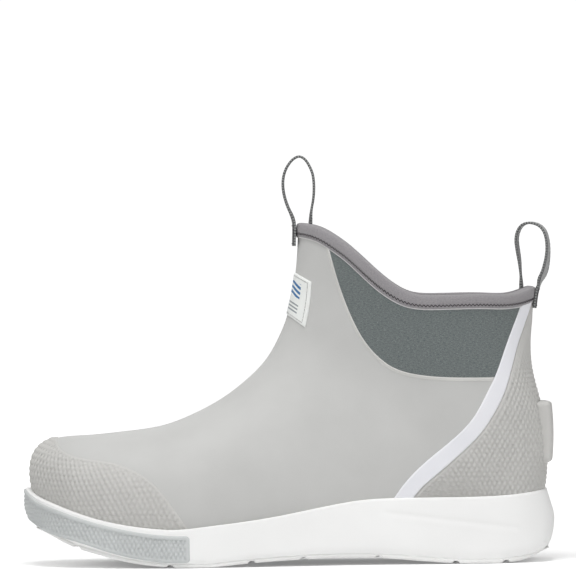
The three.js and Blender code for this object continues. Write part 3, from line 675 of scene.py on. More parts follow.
def label_look(name):
    """A white patch with a generic motif: blue wave bands in its upper half and thin grey bars below.

    The UV map runs from 0 to 1 across the patch and up it.
    """
    look = Look(name, 0.45, Specular_IOR_Level=0.4)
    across, up, _ = look.split(look.at(uv=True))
    crest = look.math("MULTIPLY_ADD", look.sine(across, 11.0), 0.035, up)
    waves = look.math("GREATER_THAN", look.sine(crest, 58.0), -0.15)
    bars = look.math("GREATER_THAN", look.sine(up, 75.0), 0.2)
    inside = look.between(across, 0.16, 0.84)
    blue = look.times(look.times(waves, look.between(up, 0.52, 0.84)), inside)
    grey = look.times(look.times(bars, look.between(up, 0.16, 0.4)), inside)
    clouds = look.range(look.noise(look.at(), 60.0), 0.3, 0.7)
    white = look.blend(clouds, linear(246, 248, 245), linear(236, 238, 236))
    printed = look.blend(blue, white, linear(62, 118, 170))
    look.colour(look.blend(grey, printed, linear(150, 156, 160)))
    raised = look.times(look.math("ADD", blue, grey), 0.6)
    look.bump(look.math("ADD", raised, look.noise(look.at(), 900.0)), 0.00008, 0.5)
    return look.material


def fibre_board(name):
    """Pressed fibre board: tan, with long pale fibres."""
    look = Look(name, 0.85)
    fibres = look.noise(look.at(0.5, 3.0, 3.0), 700.0, 4.0, 0.7)
    look.colour(look.blend(fibres, linear(150, 124, 92), linear(196, 172, 138)))
    look.bump(fibres, 0.0001)
    return look.material


def sprung_steel(name):
    """Rolled steel strip with fine scratches along it."""
    look = Look(name, 0.35, Metallic=1.0)
    scratches = look.noise(look.at(0.2, 6.0, 6.0), 900.0, 3.0)
    look.colour(look.blend(scratches, linear(150, 153, 156), linear(182, 185, 188)))
    look.roughness(look.range(scratches, 0.3, 0.7, 0.28, 0.45))
    return look.material


PALE_RUBBER = matt_rubber("pale_rubber", (202, 202, 200), (197, 197, 195), 0.58)
CAP_RUBBER = matt_rubber("cap_rubber", (206, 205, 202), (199, 198, 195), 0.6)
BUMPER_RUBBER = matt_rubber("bumper_rubber", (206, 209, 209), (198, 201, 201), 0.55)
EDGE_RUBBER = matt_rubber("edge_rubber", (219, 218, 215), (208, 207, 204), 0.6)
STRIPE_RUBBER = matt_rubber("stripe_rubber", (243, 243, 247), (236, 237, 242), 0.42, depth=0.00003)
TREAD_RUBBER = matt_rubber("tread_rubber", (248, 248, 247), (240, 240, 238), 0.6)
FOAM = foam_look("foam", (251, 251, 250), (246, 246, 245))
FOOTBED_FOAM = foam_look("footbed_foam", (214, 216, 216), (196, 199, 200), 500.0, 0.0002)
GORE_CLOTH = knit_cloth("gore_cloth", (124, 131, 130), (92, 100, 101), (160, 165, 162))
LINING_CLOTH = knit_cloth("lining_cloth", (146, 149, 149), (118, 122, 123), (172, 174, 173), 1.4, 1.2)
COVER_CLOTH = knit_cloth("cover_cloth", (128, 132, 134), (98, 102, 105), (160, 163, 164), 1.6, 1.6)
TAPE = woven_tape("tape", (168, 165, 167), (142, 139, 142))
PIPING = woven_tape("piping", (232, 230, 230), (206, 204, 204), 0.6)
WEBBING_LOOK = edged_webbing("webbing", (170, 171, 170), (88, 88, 90))
THREAD = thread_look("thread", (52, 44, 50))
PALE_THREAD = thread_look("pale_thread", (206, 206, 204))
LABEL = label_look("label")
BOARD = fibre_board("board_fibre")
STEEL = sprung_steel("steel")
STIFF_SHEET = matt_rubber("stiff_sheet", (216, 211, 200), (200, 194, 182), 0.75)


# ---- Upper pieces ----
def round_angles(count):
    """Angles round a section: down the outer side from 0 to pi, then up the inner side from -pi."""
    half = np.linspace(0, np.pi, count + 1)
    return np.concatenate([half, -half[::-1][:-1]])


def heel_angles(start, count):
    """Angles round the back of the heel, from start times pi on the outer side to the same inside."""
    half = np.linspace(start * np.pi, np.pi, count)
    return np.concatenate([half, -half[::-1]])[None]


def layered_shell(name, look, outer, inner, drop, start, rows, count, uv=False):
    """A closed wall round the foot, between two offsets from the upper's face.

    Rows of points run from the toe's tip to the collar on the outside, and back on the inside.
    """
    angle = round_angles(count)[None]
    u = mix(start, collar_station(angle, drop), np.linspace(0, 1, rows)[:, None])
    grid = np.concatenate([upper_face(u, angle, outer), upper_face(u, angle, inner)[::-1]])
    cloth = None
    if uv:
        per_radian, per_station = 42, 24  # millimetres of cloth
        cloth = np.stack(np.broadcast_arrays(angle * per_radian, u * per_station), axis=-1)
        cloth = np.concatenate([cloth, cloth[::-1]])
    piece = ring_piece(name, grid, look, uv=cloth)
    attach(piece, "boot")
    return piece


def diamonds(across, up, width, height, power, skew=1.0):
    """Height 0 to 1 of a field of diamonds: the product of two crossed sine waves to a power.

    A skew below 1 moves each one's crest down, so it steps at its foot like a shingle.
    """
    one, two = (across / width + up / height) % 1, (across / width - up / height) % 1
    wave = np.sin(np.pi * one**skew) * np.sin(np.pi * (1 - two) ** skew)
    return np.clip(wave, 0, 1) ** power


TOE_CAP_EDGE = route(
    [(46, 8), (57.5, 22.2), (64.7, 32.6), (71.8, 42), (82.5, 51.5), (87.3, 54), (96.2, 57.4), (107.7, 59.4)]
    + [(121.5, 62), (125.4, 63.6), (129.2, 67.2), (130, 72), (130, 85)],
    90,
)
STRIPE_FRONT = route(
    [(-52, 28), (-62.3, 43.5), (-68.8, 50.8), (-85.5, 65), (-97, 75.1), (-102.8, 82.1), (-108.6, 92.3)]
    + [(-114.4, 103.8), (-120.2, 119.1), (-129.3, 142.5), (-134, 156)],
    120,
)
STRIPE_BACK = route(
    [(-63, 28), (-72.6, 42.1), (-79.1, 47.7), (-98.3, 64.2), (-107.4, 73.7), (-111.8, 80.1), (-117.7, 90.3)]
    + [(-122.1, 101.7), (-127.3, 120.4), (-135.3, 143), (-139, 156)],
    120,
)
GORE_FRONT = [(-20, 192), (-23.1, 175.3), (-26.6, 161.5), (-34.6, 138.4), (-44.4, 121), (-51, 114)]
GORE_FOOT = [(-56.6, 109.9), (-72.6, 104.9), (-98.3, 103.1), (-115, 102.9)]
GORE_EDGE = route(GORE_FRONT + GORE_FOOT, 200)


def cap_grid(stations, angle, inside, relief):
    """(points, keep) of a moulded overlay.

    The upper's face is lifted by CAP where inside, a distance from the overlay's edge, is positive,
    and sinks under the face outside it. relief is added away from the edge.
    """
    base = upper_point(stations, angle)
    depth = inside(base)
    lip = mix(-0.7, 0.5 * CAP, smoothstep(-0.45, 0.35, depth))
    lift = lip + 0.5 * CAP * smoothstep(0.6, 3.0, depth) + relief(base) * smoothstep(1.1, 2.1, depth)
    return base + upper_normal(stations, angle) * lift[..., None], depth > -1.0


def above_foam(at):
    """Whether points of a cap are above the foam's edge, or just tucked in behind it."""
    return at[..., 2] > foam_edge(at[..., 0]) - CAP_TUCK


def scales(across, up):
    """Depth of a field of scales: 0 on their crests and -SCALE_DEPTH in the grooves between them."""
    return SCALE_DEPTH * (diamonds(across, up, SCALE_WIDTH, SCALE_HEIGHT, 0.7, 0.65) - 1)


def toe_scales(at):
    """Scales round the toe, set out by the turn round its heart and the angle of elevation from there.

    Behind the heart's place along the foot they carry on straight.
    """
    heart, radius = (100.0, -6.0, 28.0), 43.0
    x, y, z = np.moveaxis(at - heart, -1, 0)
    ahead = np.maximum(x, 0)
    round_toe = np.arctan2(y, np.maximum(ahead, 1e-3)) * radius
    behind = np.maximum(-x, 0) * np.sign(y)
    rise = np.arctan2(z, np.hypot(ahead, y)) * radius
    return scales(round_toe + behind, rise)


def heel_scales(at):
    """Scales round the heel, fading out above the ankle."""
    heart, radius = (-103.0, 0.0, 0.0), 34.0
    x, y, z = np.moveaxis(at - heart, -1, 0)
    round_heel = np.arctan2(y, np.maximum(-x, 1e-3)) * radius
    ahead = np.maximum(x, 0) * np.sign(y)
    return scales(round_heel + ahead, z) * (1 - smoothstep(100, 122, z))


def toe_cap():
    """The cap lies in front of its edge line, on rings round the toe from its tip."""
    stations = np.concatenate([np.linspace(0.04, 3.2, 90), np.linspace(3.24, 7.7, 150)])[:, None]
    angle = round_angles(225)[None]

    def inside(at):
        return -side_distance(TOE_CAP_EDGE, at[..., 0], at[..., 2])

    grid, keep = cap_grid(stations, angle, inside, toe_scales)
    keep &= above_foam(grid)
    piece = sheet_piece("toe_cap_scales", grid, CAP_RUBBER, closed=True, keep=keep, flip=True)
    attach(piece, "boot")
    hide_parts("toe_cap")


def heel_cap():
    """The cap lies behind the stripe, on the lower part of each section from side to side."""
    angle = heel_angles(0.36, 210)
    stations = mix(9.0, collar_station(angle, COLLAR_TUCK), np.linspace(0, 1, 250)[:, None])

    def inside(at):
        return side_distance(STRIPE_BACK, at[..., 0], at[..., 2]) - 0.35

    grid, keep = cap_grid(stations, angle, inside, heel_scales)
    keep &= above_foam(grid)
    piece = sheet_piece("heel_cap_scales", grid, CAP_RUBBER, keep=keep)
    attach(piece, "boot")
    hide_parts("heel_cap")


def kick_tab():
    """A ribbed block on the back of the heel with rounded corners and an upright back face."""
    middle, half_height, half_width, corner = 71.5, 17.0, 13.5, 3.0
    back_face, bow_across, bow_up = 147.9, 0.009, 0.0035
    rib, foot = 3.0, 0.4
    stations = np.linspace(13.0, 15.9, 130)[:, None]
    angle = heel_angles(0.66, 90)
    base = upper_point(stations, angle)
    x, y, z = np.moveaxis(base - (0, 0, middle), -1, 0)
    outside = past_corner(np.abs(z) - half_height + corner, np.abs(y) - half_width + corner, corner)
    proud = back_face + x - bow_across * y**2 - bow_up * z**2
    ribs = 0.5 * (np.abs(np.sin(np.pi * y / rib)) ** 0.6 - 1) * smoothstep(1.6, 3.0, -outside)
    block = foot + (proud - foot) * rounded(-outside, 2.6)
    lift = np.where(outside < 0, block, foot - 1.2 * outside) + ribs
    grid = base + upper_normal(stations, angle) * lift[..., None]
    piece = sheet_piece("heel_kick_block", grid, CAP_RUBBER, keep=outside < 1.0)
    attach(piece, "boot")
    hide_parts("heel_kick_tab")


def patch(x, z, side, offset):
    """The upper's face through side view points, on one side of the foot, moved out by offset."""
    u, angle = station_through(x, z)
    return upper_face(u, angle * side, offset)


def stripe(name, node, side):
    """A strip between its two edge lines, with rounded edges that sink into the upper."""
    edges = (below_collar(line, COLLAR_TUCK) for line in (STRIPE_FRONT, STRIPE_BACK))
    front, back = (route(line[::4], 150) for line in edges)
    across = np.array([0, 0.005, 0.03, 0.07, 0.13, 0.25, 0.4, 0.6, 0.75, 0.87, 0.93, 0.97, 0.995, 1.0])
    lift = STRIPE * np.array([-0.4, 0.3, 0.7, 0.92, 1, 1, 1, 1, 1, 1, 0.92, 0.7, 0.3, -0.4])
    line = mix(front[:, None], back[:, None], across[None, :, None])
    grid = patch(line[..., 0], line[..., 1], side, lift[None])
    piece = sheet_piece(name, grid, STRIPE_RUBBER, flip=side < 0)
    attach(piece, "boot")
    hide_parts(node)


def gore(name, node, side):
    """Stretch cloth over a four-sided Coons patch of its edge lines, bowed out a little."""
    count, tuck = 110, 5
    front = route(below_collar(route(GORE_FRONT, 200), tuck)[::-1][::6], count)
    rear = below_collar(STRIPE_FRONT, tuck)
    rear = route(rear[rear[:, 1] > GORE_FOOT[-1][1]][::3], count)
    foot = route([front[0], *GORE_FOOT[:-1], rear[0]], count)
    top_x = np.linspace(front[-1][0], rear[-1][0], count)
    top = np.stack([top_x, collar(top_x) - 5.2], axis=-1)
    top[0], top[-1] = front[-1], rear[-1]
    a, b = np.linspace(0, 1, count)[:, None, None], np.linspace(0, 1, count)[None, :, None]
    edges = mix(foot[:, None], top[:, None], b) + mix(front[None], rear[None], a)
    corners = mix(mix(foot[0], foot[-1], a), mix(top[0], top[-1], a), b)
    place = edges - corners
    bow = 0.3 + 0.25 * np.sin(np.pi * a[..., 0]) * np.sin(np.pi * b[..., 0])
    grid = patch(place[..., 0], place[..., 1], side, bow)
    piece = sheet_piece(name, grid, GORE_CLOTH, uv=place, flip=side < 0)
    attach(piece, "boot")
    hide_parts(node)


def gore_rim(name, side):
    """The cut edge of the rubber along the gore's front and foot: a lip that steps down to the cloth."""
    line = route(below_collar(GORE_EDGE, COLLAR_TUCK)[::4], 200)
    ahead = np.gradient(line, axis=0)
    out = np.stack([ahead[:, 1], -ahead[:, 0]], axis=-1) / np.linalg.norm(ahead, axis=1, keepdims=True)
    away = -np.array([-0.35, -0.3, -0.15, 0.1, 0.35, 0.6, 0.9, 1.4, 2.0])
    lift = RIM * np.array([0.1, 0.7, 0.95, 1.0, 0.95, 0.7, 0.4, 0.1, -0.4])
    place = line[:, None] + out[:, None] * away[None, :, None]
    grid = patch(place[..., 0], place[..., 1], side, lift[None])
    piece = sheet_piece(name, grid, EDGE_RUBBER, flip=side > 0)
    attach(piece, "boot")


# ---- Collar ----
def collar_rows(drops, offsets, count=420):
    """Rings of points round the collar, one for each distance below its edge and offset from the face."""
    angle = round_angles(count // 2)
    levels = zip(drops, offsets)
    return np.stack([upper_face(collar_station(angle, drop), angle, offset) for drop, offset in levels])


def binding():
    """Tape folded over the collar: its section is carried round the collar's edge.

    The section's points are distances below that edge and out from the upper's face.
    """
    section = [(8.6, -0.2), (8.6, 0.75), (8.2, 1.05), (6.5, 1.15), (4.0, 1.12), (2.3, 0.98), (1.4, 0.45)]
    section += [(1.0, -0.6), (0.9, -2.1), (1.0, -3.7), (1.4, -4.75), (2.3, -5.3), (4.0, -5.42)]
    section += [(8.8, -5.42), (9.5, -5.2), (9.5, -4.0)]
    grid = collar_rows(*zip(*section))
    across = lengths(np.array(section))
    around = lengths(grid[3])
    uv = np.stack(np.broadcast_arrays(around[None], across[:, None]), axis=-1)
    piece = ring_piece("collar_tape", grid, TAPE, uv=uv, tube=True, flip=True)
    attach(piece, "boot")
    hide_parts("collar_binding")


def piping():
    """A thin cord of tape along the binding's lower edge."""
    drop, proud = 8.7, 0.35
    path = collar_rows([drop], [proud])[0]
    around = lengths(path)
    rings = tube_along(path, PIPING_RADIUS, 8, closed=True)
    uv = np.stack(np.broadcast_arrays(around[:, None], np.linspace(0, 3, 8)[None]), axis=-1)
    piece = ring_piece("collar_piping", rings, PIPING, uv=uv, tube=True)
    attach(piece, "boot")


def zigzag():
    """Thread along the binding: a triangle wave round the collar, just above the tape's lower edge."""
    stitches, points = 168, 6
    crest, trough, proud = 6.25, 7.35, 1.22
    rows = collar_rows([crest, trough], [proud, proud], 2400)
    around = lengths(rows[0])
    at = np.linspace(0, around[-1], stitches * points, endpoint=False)
    crests, troughs = (points_at(row, at, around) for row in rows)
    wave = np.abs(np.arange(stitches * points) / points % 1 - 0.5) * 2
    path = mix(crests, troughs, wave[:, None])
    piece = ring_piece("collar_zigzag", tube_along(path, THREAD_RADIUS, 6, closed=True), THREAD, tube=True)
    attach(piece, "boot")
    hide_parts("collar_stitching_left", "collar_stitching_right")


def seam(name, path, at, pitch, thin, swell, pinch, look):
    """Thread in short stitches along a closed path.

    Its radius goes from thin between stitches to thin + swell, by |sin(pi at / pitch)| from pinch to 0.3.
    """
    radius = thin + swell * smoothstep(pinch, 0.3, np.abs(np.sin(np.pi * at / pitch)))
    rings = tube_along(path, radius[:, None, None], 6, closed=True)
    piece = ring_piece(name, rings, look, tube=True)
    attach(piece, "boot")


def label_span(turn):
    """Stations of the label's lower and upper edges, from the heights of its side edges' ends."""
    u = np.linspace(10, 16, 600)
    height = upper_point(u, np.full(u.shape, turn))[:, 2]
    return np.interp([LABEL_FOOT, LABEL_HEAD], height, u)


def label():
    """A patch wrapped round the shin with a sewn border, on the upper's own lines."""
    rows, columns, turn = 40, 48, 0.5
    low, high = label_span(turn)
    u = np.linspace(low, high, rows)[:, None]
    angle = np.linspace(turn, -turn, columns)[None]
    across, up = np.broadcast_arrays(np.linspace(0, 1, columns)[None], np.linspace(0, 1, rows)[:, None])
    edge = np.minimum(np.minimum(across, 1 - across) * LABEL_WIDTH, np.minimum(up, 1 - up) * LABEL_HEIGHT)
    lift = 0.35 + 0.45 * smoothstep(0.0, 0.8, edge) - 0.22 * np.exp(-((edge - 1.7) ** 2) / 0.12)
    face, back = upper_face(u, angle, lift), upper_face(u, angle, 0.05)
    piece = slab_piece("shin_label", face, back, LABEL, uv=np.stack([across, up], axis=-1))
    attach(piece, "boot")
    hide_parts("front_label")
    border = np.array([(0.05, 0.06), (0.95, 0.06), (0.95, 0.94), (0.05, 0.94), (0.05, 0.06)])
    chord = lengths(border * (LABEL_WIDTH, LABEL_HEIGHT))
    at = np.linspace(0, chord[-1], 560, endpoint=False)
    across, up = points_at(border, at, chord).T
    path = upper_face(mix(low, high, up), mix(turn, -turn, across), 0.72)
    seam("label_stitching", path, at, 2.1, 0.06, 0.16, 0.12, PALE_THREAD)


# ---- Pull loops ----
# Side view lines of the webbing, from the end of the outer tail over the top to the inner one.
FRONT_LOOP = [
    (-3.1, 177.2), (-3.3, 184), (-3.2, 190.2), (-1.6, 196), (0.4, 201.5), (1.8, 207), (2.2, 212.5),
    (1.3, 218), (-1.2, 223), (-4.2, 226.1), (-7, 227.2), (-9.8, 226), (-12.4, 222.5), (-14.3, 218),
    (-15.1, 212.6), (-15.1, 207.5), (-14.5, 202), (-13.4, 196.5), (-12.6, 191), (-12.3, 184), (-12.0, 177.2),
]
REAR_LOOP = [
    (-138.5, 141), (-139.3, 147), (-140.5, 152.5), (-142.8, 158.5), (-144.9, 166), (-145.8, 174.5),
    (-145.2, 180.4), (-143.7, 184.5), (-141.2, 187.1), (-138, 188.4), (-134.6, 188.6), (-131.7, 187.4),
    (-129.4, 184.2), (-128.4, 180), (-128.7, 175), (-129.8, 167.4), (-130.5, 160), (-131.2, 153),
    (-130.8, 147), (-130.1, 141),
]


def pull_loop(name, points, nodes, curl, twist, collar_top):
    """A length of webbing carried along its line.

    It curls with the collar where it is sewn down, and its outer leg turns by twist above the collar.
    """
    rows, columns = 190, 25
    line = route(points, rows)
    ahead = np.gradient(line, axis=0)
    ahead /= np.linalg.norm(ahead, axis=1, keepdims=True)
    out = np.stack([-ahead[:, 1], ahead[:, 0]], axis=-1)
    across = HALF_WEBBING * np.sin(np.linspace(-np.pi / 2, np.pi / 2, columns))
    above = line[:, 1] - collar_top
    sewn = 1 - smoothstep(-1, 9, above)
    outer_leg = smoothstep(-2, 5, above) * mix(0.5, 1.0, np.exp(-((np.maximum(above - 4, 0) / 12) ** 2)))
    inner_leg = 0.5 * smoothstep(-2, 20, above)
    turned = twist * np.where(np.arange(rows) < rows / 2, outer_leg, inner_leg)
    thick = WEBBING / 2 * np.sqrt(1 - (np.abs(across) / (HALF_WEBBING + 0.12)) ** 10)
    length = lengths(line)
    weave = 0.05 * np.sin(2 * np.pi * (length[:, None] + np.abs(across)[None]) / 2.2)
    bow = curl * (across[None] / HALF_WEBBING) ** 2 * sewn[:, None]
    lean = across[None] * np.sin(turned)[:, None]

    def face(sign):
        shift = sign * (thick[None] + weave)
        x = line[:, :1] + out[:, :1] * shift + bow + lean
        z = line[:, 1:] + out[:, 1:] * shift
        return np.stack([x, np.broadcast_to(across[None], x.shape), z], axis=-1)

    uv = np.stack(np.broadcast_arrays(length[:, None], across[None]), axis=-1)
    piece = slab_piece(name, face(1), face(-1), WEBBING_LOOK, uv=uv)
    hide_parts(*nodes)
    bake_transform(piece)


def tab_stitches(name, tail, z_low, z_high, curl, sign):
    """A sewn box on a loop's outer tail, whose side view line has the points in tail."""
    half = HALF_WEBBING - 1.8
    corners = [(-half, z_low), (half, z_low), (half, z_high), (-half, z_high), (-half, z_low)]
    corners = np.array(corners, float)
    chord = lengths(corners)
    at = np.linspace(0, chord[-1], 300, endpoint=False)
    y, z = points_at(corners, at, chord).T
    tail_x, tail_z = np.transpose(tail)
    x = np.interp(z, tail_z, tail_x) + sign * (WEBBING / 2 + 0.05) + curl * (y / HALF_WEBBING) ** 2
    seam(name, np.stack([x, y, z], axis=-1), at, 1.9, 0.05, 0.2, 0.1, THREAD)


# ---- Sole ----
def foam_low(x):
    """Underside of the foam: it lies on the outsole, which thins out towards its ends."""
    return tread(x) + OUTSOLE * smoothstep(148, 126, x) * smoothstep(-149, -128, x)


def tuck(x):
    """How far the foot of the foam's wall is tucked in, at the toe's and the heel's tips."""
    return TIP_TUCK * (smoothstep(136, 150, x) + smoothstep(-140, -150, x))


def wall_point(u, side, share, grow):
    """Point of the foam's wall at a share of its height, moved out by grow.

    It leans in towards the top and is rounded under at the bottom.
    """
    u, side, share = np.broadcast_arrays(u, side, share)
    edge = sole_edge(u, side)
    round_under = 0.9 * (1 - np.clip(share / 0.17, 0, 1)) ** 2
    lean = sole_stations(u)[..., 3] * np.clip((share - 0.1) / 0.9, 0, 1) ** 1.25
    tucked = tuck(edge[..., 0]) * (1 - np.clip(share / 0.6, 0, 1)) ** 2
    plan = edge + sole_out(u, side) * (grow - (round_under + lean + tucked))[..., None]
    low, high = foam_low(plan[..., 0]), foam_edge(plan[..., 0])
    return np.concatenate([plan, mix(low, high, share)[..., None]], axis=-1)


CREASE = [(-126, 19.5), (-95, 23.5), (-52, 29)]  # faint line pressed in the heel's wall
# The ledge and the drop inside it, as distances in and down from the wall's top.
FOAM_LEDGE = [(0.35, 0.1), (1.1, -0.15), (3.0, 0), (6.5, 0.3), (7.5, 4), (9, 9)]


def midsole():
    """Foam tray: an underside on the outsole, a wall, a narrow ledge and a drop inside the upper."""
    u, side = sole_route(460)
    share = np.concatenate([np.linspace(0, 0.2, 9), np.linspace(0.24, 0.985, 22)])[:, None]
    base = wall_point(u[None], side[None], share, np.zeros((1, 1)))
    x, crease = base[..., 0], side_distance(CREASE, base[..., 0], base[..., 2])
    hollow = 0.2 * smoothstep(0, 5, -crease) * smoothstep(-40, -60, x)
    press = 0.45 * np.exp(-((crease / 1.3) ** 2)) + hollow
    press = press * smoothstep(-134, -124, x) * smoothstep(-44, -58, x)
    wall = wall_point(u[None], side[None], share, -press)
    top = wall_point(u, side, np.ones(len(u)), np.zeros(len(u)))
    out = np.concatenate([sole_out(u, side), np.zeros((len(u), 1))], axis=-1)
    down = np.array([0.0, 0.0, -1.0])
    ledge = [top - out * inward + down * drop for inward, drop in FOAM_LEDGE]
    spine = (sole_edge(u, np.ones(len(u))) + sole_edge(u, -np.ones(len(u))))[:, 1] / 2
    x, y, z = wall[0].T
    under = [np.stack([x, mix(y, spine, share_in), z], axis=-1) for share_in in (0.9995, 0.6, 0.2)]
    grid = np.concatenate([np.stack(under), wall, np.stack(ledge)])
    piece = ring_piece("foam_midsole", grid, FOAM, flip=True)
    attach(piece, "boot")
    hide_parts("midsole")


BUMPER_TOP = [(56, 17.9), (68.3, 18.2), (82.5, 19.7), (100.4, 23.2), (118.3, 28.1), (136.8, 34.5)]
BUMPER_TOP += [(144, 38.1), (150, 44)]
BUMPER_FOOT = [(56, 2.7), (68.3, 2.9), (82.5, 4.6), (96.8, 7.6), (118.3, 14.3), (133.5, 18.4)]
BUMPER_FOOT += [(139, 20.4), (150, 25.5)]


def bumper():
    """Rubber band round the toe: a field of tall diamonds between two plain lips."""
    u, side = sole_route(1600)
    edge = sole_edge(u, side)
    keep = edge[:, 0] > BUMPER_BACK
    u, side, edge = u[keep], side[keep], edge[keep]
    x, around = edge[:, 0], lengths(edge)
    low, high = profile(BUMPER_FOOT)(x)[None], profile(BUMPER_TOP)(x)[None]
    height = mix(low, high, np.linspace(0, 1, 46)[:, None])
    foot = np.minimum(foam_low(x - tuck(x))[None], low)
    wall_share = np.clip((height - foot) / (foam_edge(x)[None] - foot), 0, 1)
    up, down = height - low, high - height
    ends = np.minimum(around, around[-1] - around)[None]
    corner = 2.6
    edge_in = -past_corner(corner - np.minimum(up, down), corner - ends, corner)
    field = smoothstep(1.5, 2.3, up) * smoothstep(1.9, 2.7, down) * smoothstep(1.8, 2.8, ends)
    shapes = diamonds(around[None], height, DIAMOND_WIDTH, DIAMOND_HEIGHT, 0.8)
    relief = DIAMOND_DEPTH * (shapes - 1) * field
    lift = mix(-0.3, BUMPER_PROUD, rounded(edge_in, 1.1)) + relief
    face = wall_point(u[None], side[None], wall_share, lift)
    face[..., 2] = height
    back = wall_point(u[None], side[None], wall_share, np.full((1, 1), -BUMPER_SINK))
    back[..., 2] = height
    piece = slab_piece("toe_bumper_band", face, back, BUMPER_RUBBER, flip=True)
    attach(piece, "boot")
    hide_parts("toe_bumper")


NOTCHES = np.array([119.0, 67.0, 22.0, -7.0, -48.5, -91.5, -119.3])  # x of the wide grooves


def outsole():
    """Tread slab: wide grooves across it in chevrons, and rows of fine cuts between them."""
    rows, columns = 430, 72
    u, side = sole_route(2400)
    plan = sole_edge(u, side) + sole_out(u, side) * -1.0
    outer, inner = plan[side > 0], plan[side < 0][::-1]
    x = np.linspace(*OUTSOLE_ENDS, rows)[:, None]
    top_y = np.interp(x, outer[:, 0], outer[:, 1])
    low_y = np.interp(x, inner[:, 0], inner[:, 1])
    share = np.linspace(0, 1, columns)[None]
    y = mix(low_y, top_y, share)
    chevron = 6
    slant = x + chevron * (1 - np.abs(2 * share - 1))
    wide = smoothstep(2.1, 1.3, np.abs(slant[..., None] - NOTCHES).min(axis=-1))
    ripple = np.abs(np.sin(np.pi * (slant + 3 * np.sin(y / 3.2)) / CUT_PITCH))
    edge = np.minimum(share, 1 - share) * (top_y - low_y)
    fine = (1 - smoothstep(0.55, 0.9, ripple)) * smoothstep(5, 7, edge)
    depth = np.maximum(GROOVE_DEPTH * wide, CUT_DEPTH * fine)
    rim = 0.5 * (1 - smoothstep(0, 1.0, edge)) ** 2
    x = np.broadcast_to(x, y.shape)
    face = np.stack([x, y, np.minimum(tread(x) + depth + rim, foam_low(x))], axis=-1)
    back = np.stack([x, y, foam_low(x) + 0.05], axis=-1)
    piece = slab_piece("tread_outsole", face, back, TREAD_RUBBER, flip=True)
    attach(piece, "boot")
    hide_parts("outsole")


# ---- Inside ----
def cuts(node, x):
    """Lowest and highest corners of a CAD piece's cut by a plane across the foot, at each x."""
    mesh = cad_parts[node].data
    points, pairs = np.empty(len(mesh.vertices) * 3), np.empty(len(mesh.edges) * 2, int)
    mesh.vertices.foreach_get("co", points)
    mesh.edges.foreach_get("vertices", pairs)
    a, b = np.moveaxis((points.reshape(-1, 3) / MM)[pairs.reshape(-1, 2)], 1, 0)
    run = b[:, 0] - a[:, 0]
    share = (x[:, None] - a[:, 0]) / np.where(np.abs(run) < 1e-6, np.inf, run)
    met = ((share > 0) & (share <= 1))[..., None]
    at = a + (b - a) * share[..., None]
    return np.where(met, at, np.inf).min(axis=1), np.where(met, at, -np.inf).max(axis=1)


def footbed_layer(name, node, look, low, high):
    """A slab across the foot, low to high above the foam footbed's top.

    It is dished under the heel, crowned at the arch and rounded off at its sides.
    """
    rows, columns = 150, 44
    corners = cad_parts["footbed"].bound_box
    margin = 0.15
    back, front = corners[0][0] / MM + margin, corners[6][0] / MM - margin
    x = (back + front) / 2 - (front - back) / 2 * np.cos(np.linspace(0, np.pi, rows))
    least, most = cuts("footbed", x)
    share = (1 - np.cos(np.linspace(0, np.pi, columns)))[None] / 2
    y = mix(least[:, 1:2], most[:, 1:2], share)
    x = np.broadcast_to(x[:, None], y.shape)
    from_side = np.minimum(share, 1 - share) * (most - least)[:, 1:2]
    edge = np.minimum(from_side, np.minimum(x - back, front - x))
    dish = 0.9 * np.sin(np.pi * share) * smoothstep(40, -90, x)
    arch = 1.2 * np.exp(-(((x + 20) / 45) ** 2)) * (1 - share) ** 2
    roll = 0.5 * (1 - smoothstep(0, 1.6, edge)) ** 2
    level = most[:, 2:3] - dish + arch
    top = np.stack([x, y, level + high - roll], axis=-1)
    bottom = np.stack([x, y, level + low], axis=-1)
    piece = slab_piece(name, top, bottom, look, uv=top[..., :2])
    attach(piece, "loose_footbed")
    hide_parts(node)
    return piece


def dress_hidden_nodes():
    """Finishes for the stiff pieces inside the walls and the sole."""
    sheets = [("toe_puff", STIFF_SHEET), ("heel_counter", STIFF_SHEET)]
    for node, look in [("insole_board", BOARD), ("shank", STEEL), *sheets]:
        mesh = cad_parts[node].data
        mesh.materials.clear()
        mesh.materials.append(look)


# ---- Stage ----
def seen_only(tree, dim, bright):
    """A strength that is bright where it is seen directly, and dim as light on other things."""
    seen = tree.nodes.new("ShaderNodeLightPath")
    power = tree.nodes.new("ShaderNodeMapRange")
    power.inputs["To Min"].default_value = dim
    power.inputs["To Max"].default_value = bright
    tree.links.new(seen.outputs["Is Camera Ray"], power.inputs["Value"])
    return power.outputs["Result"]


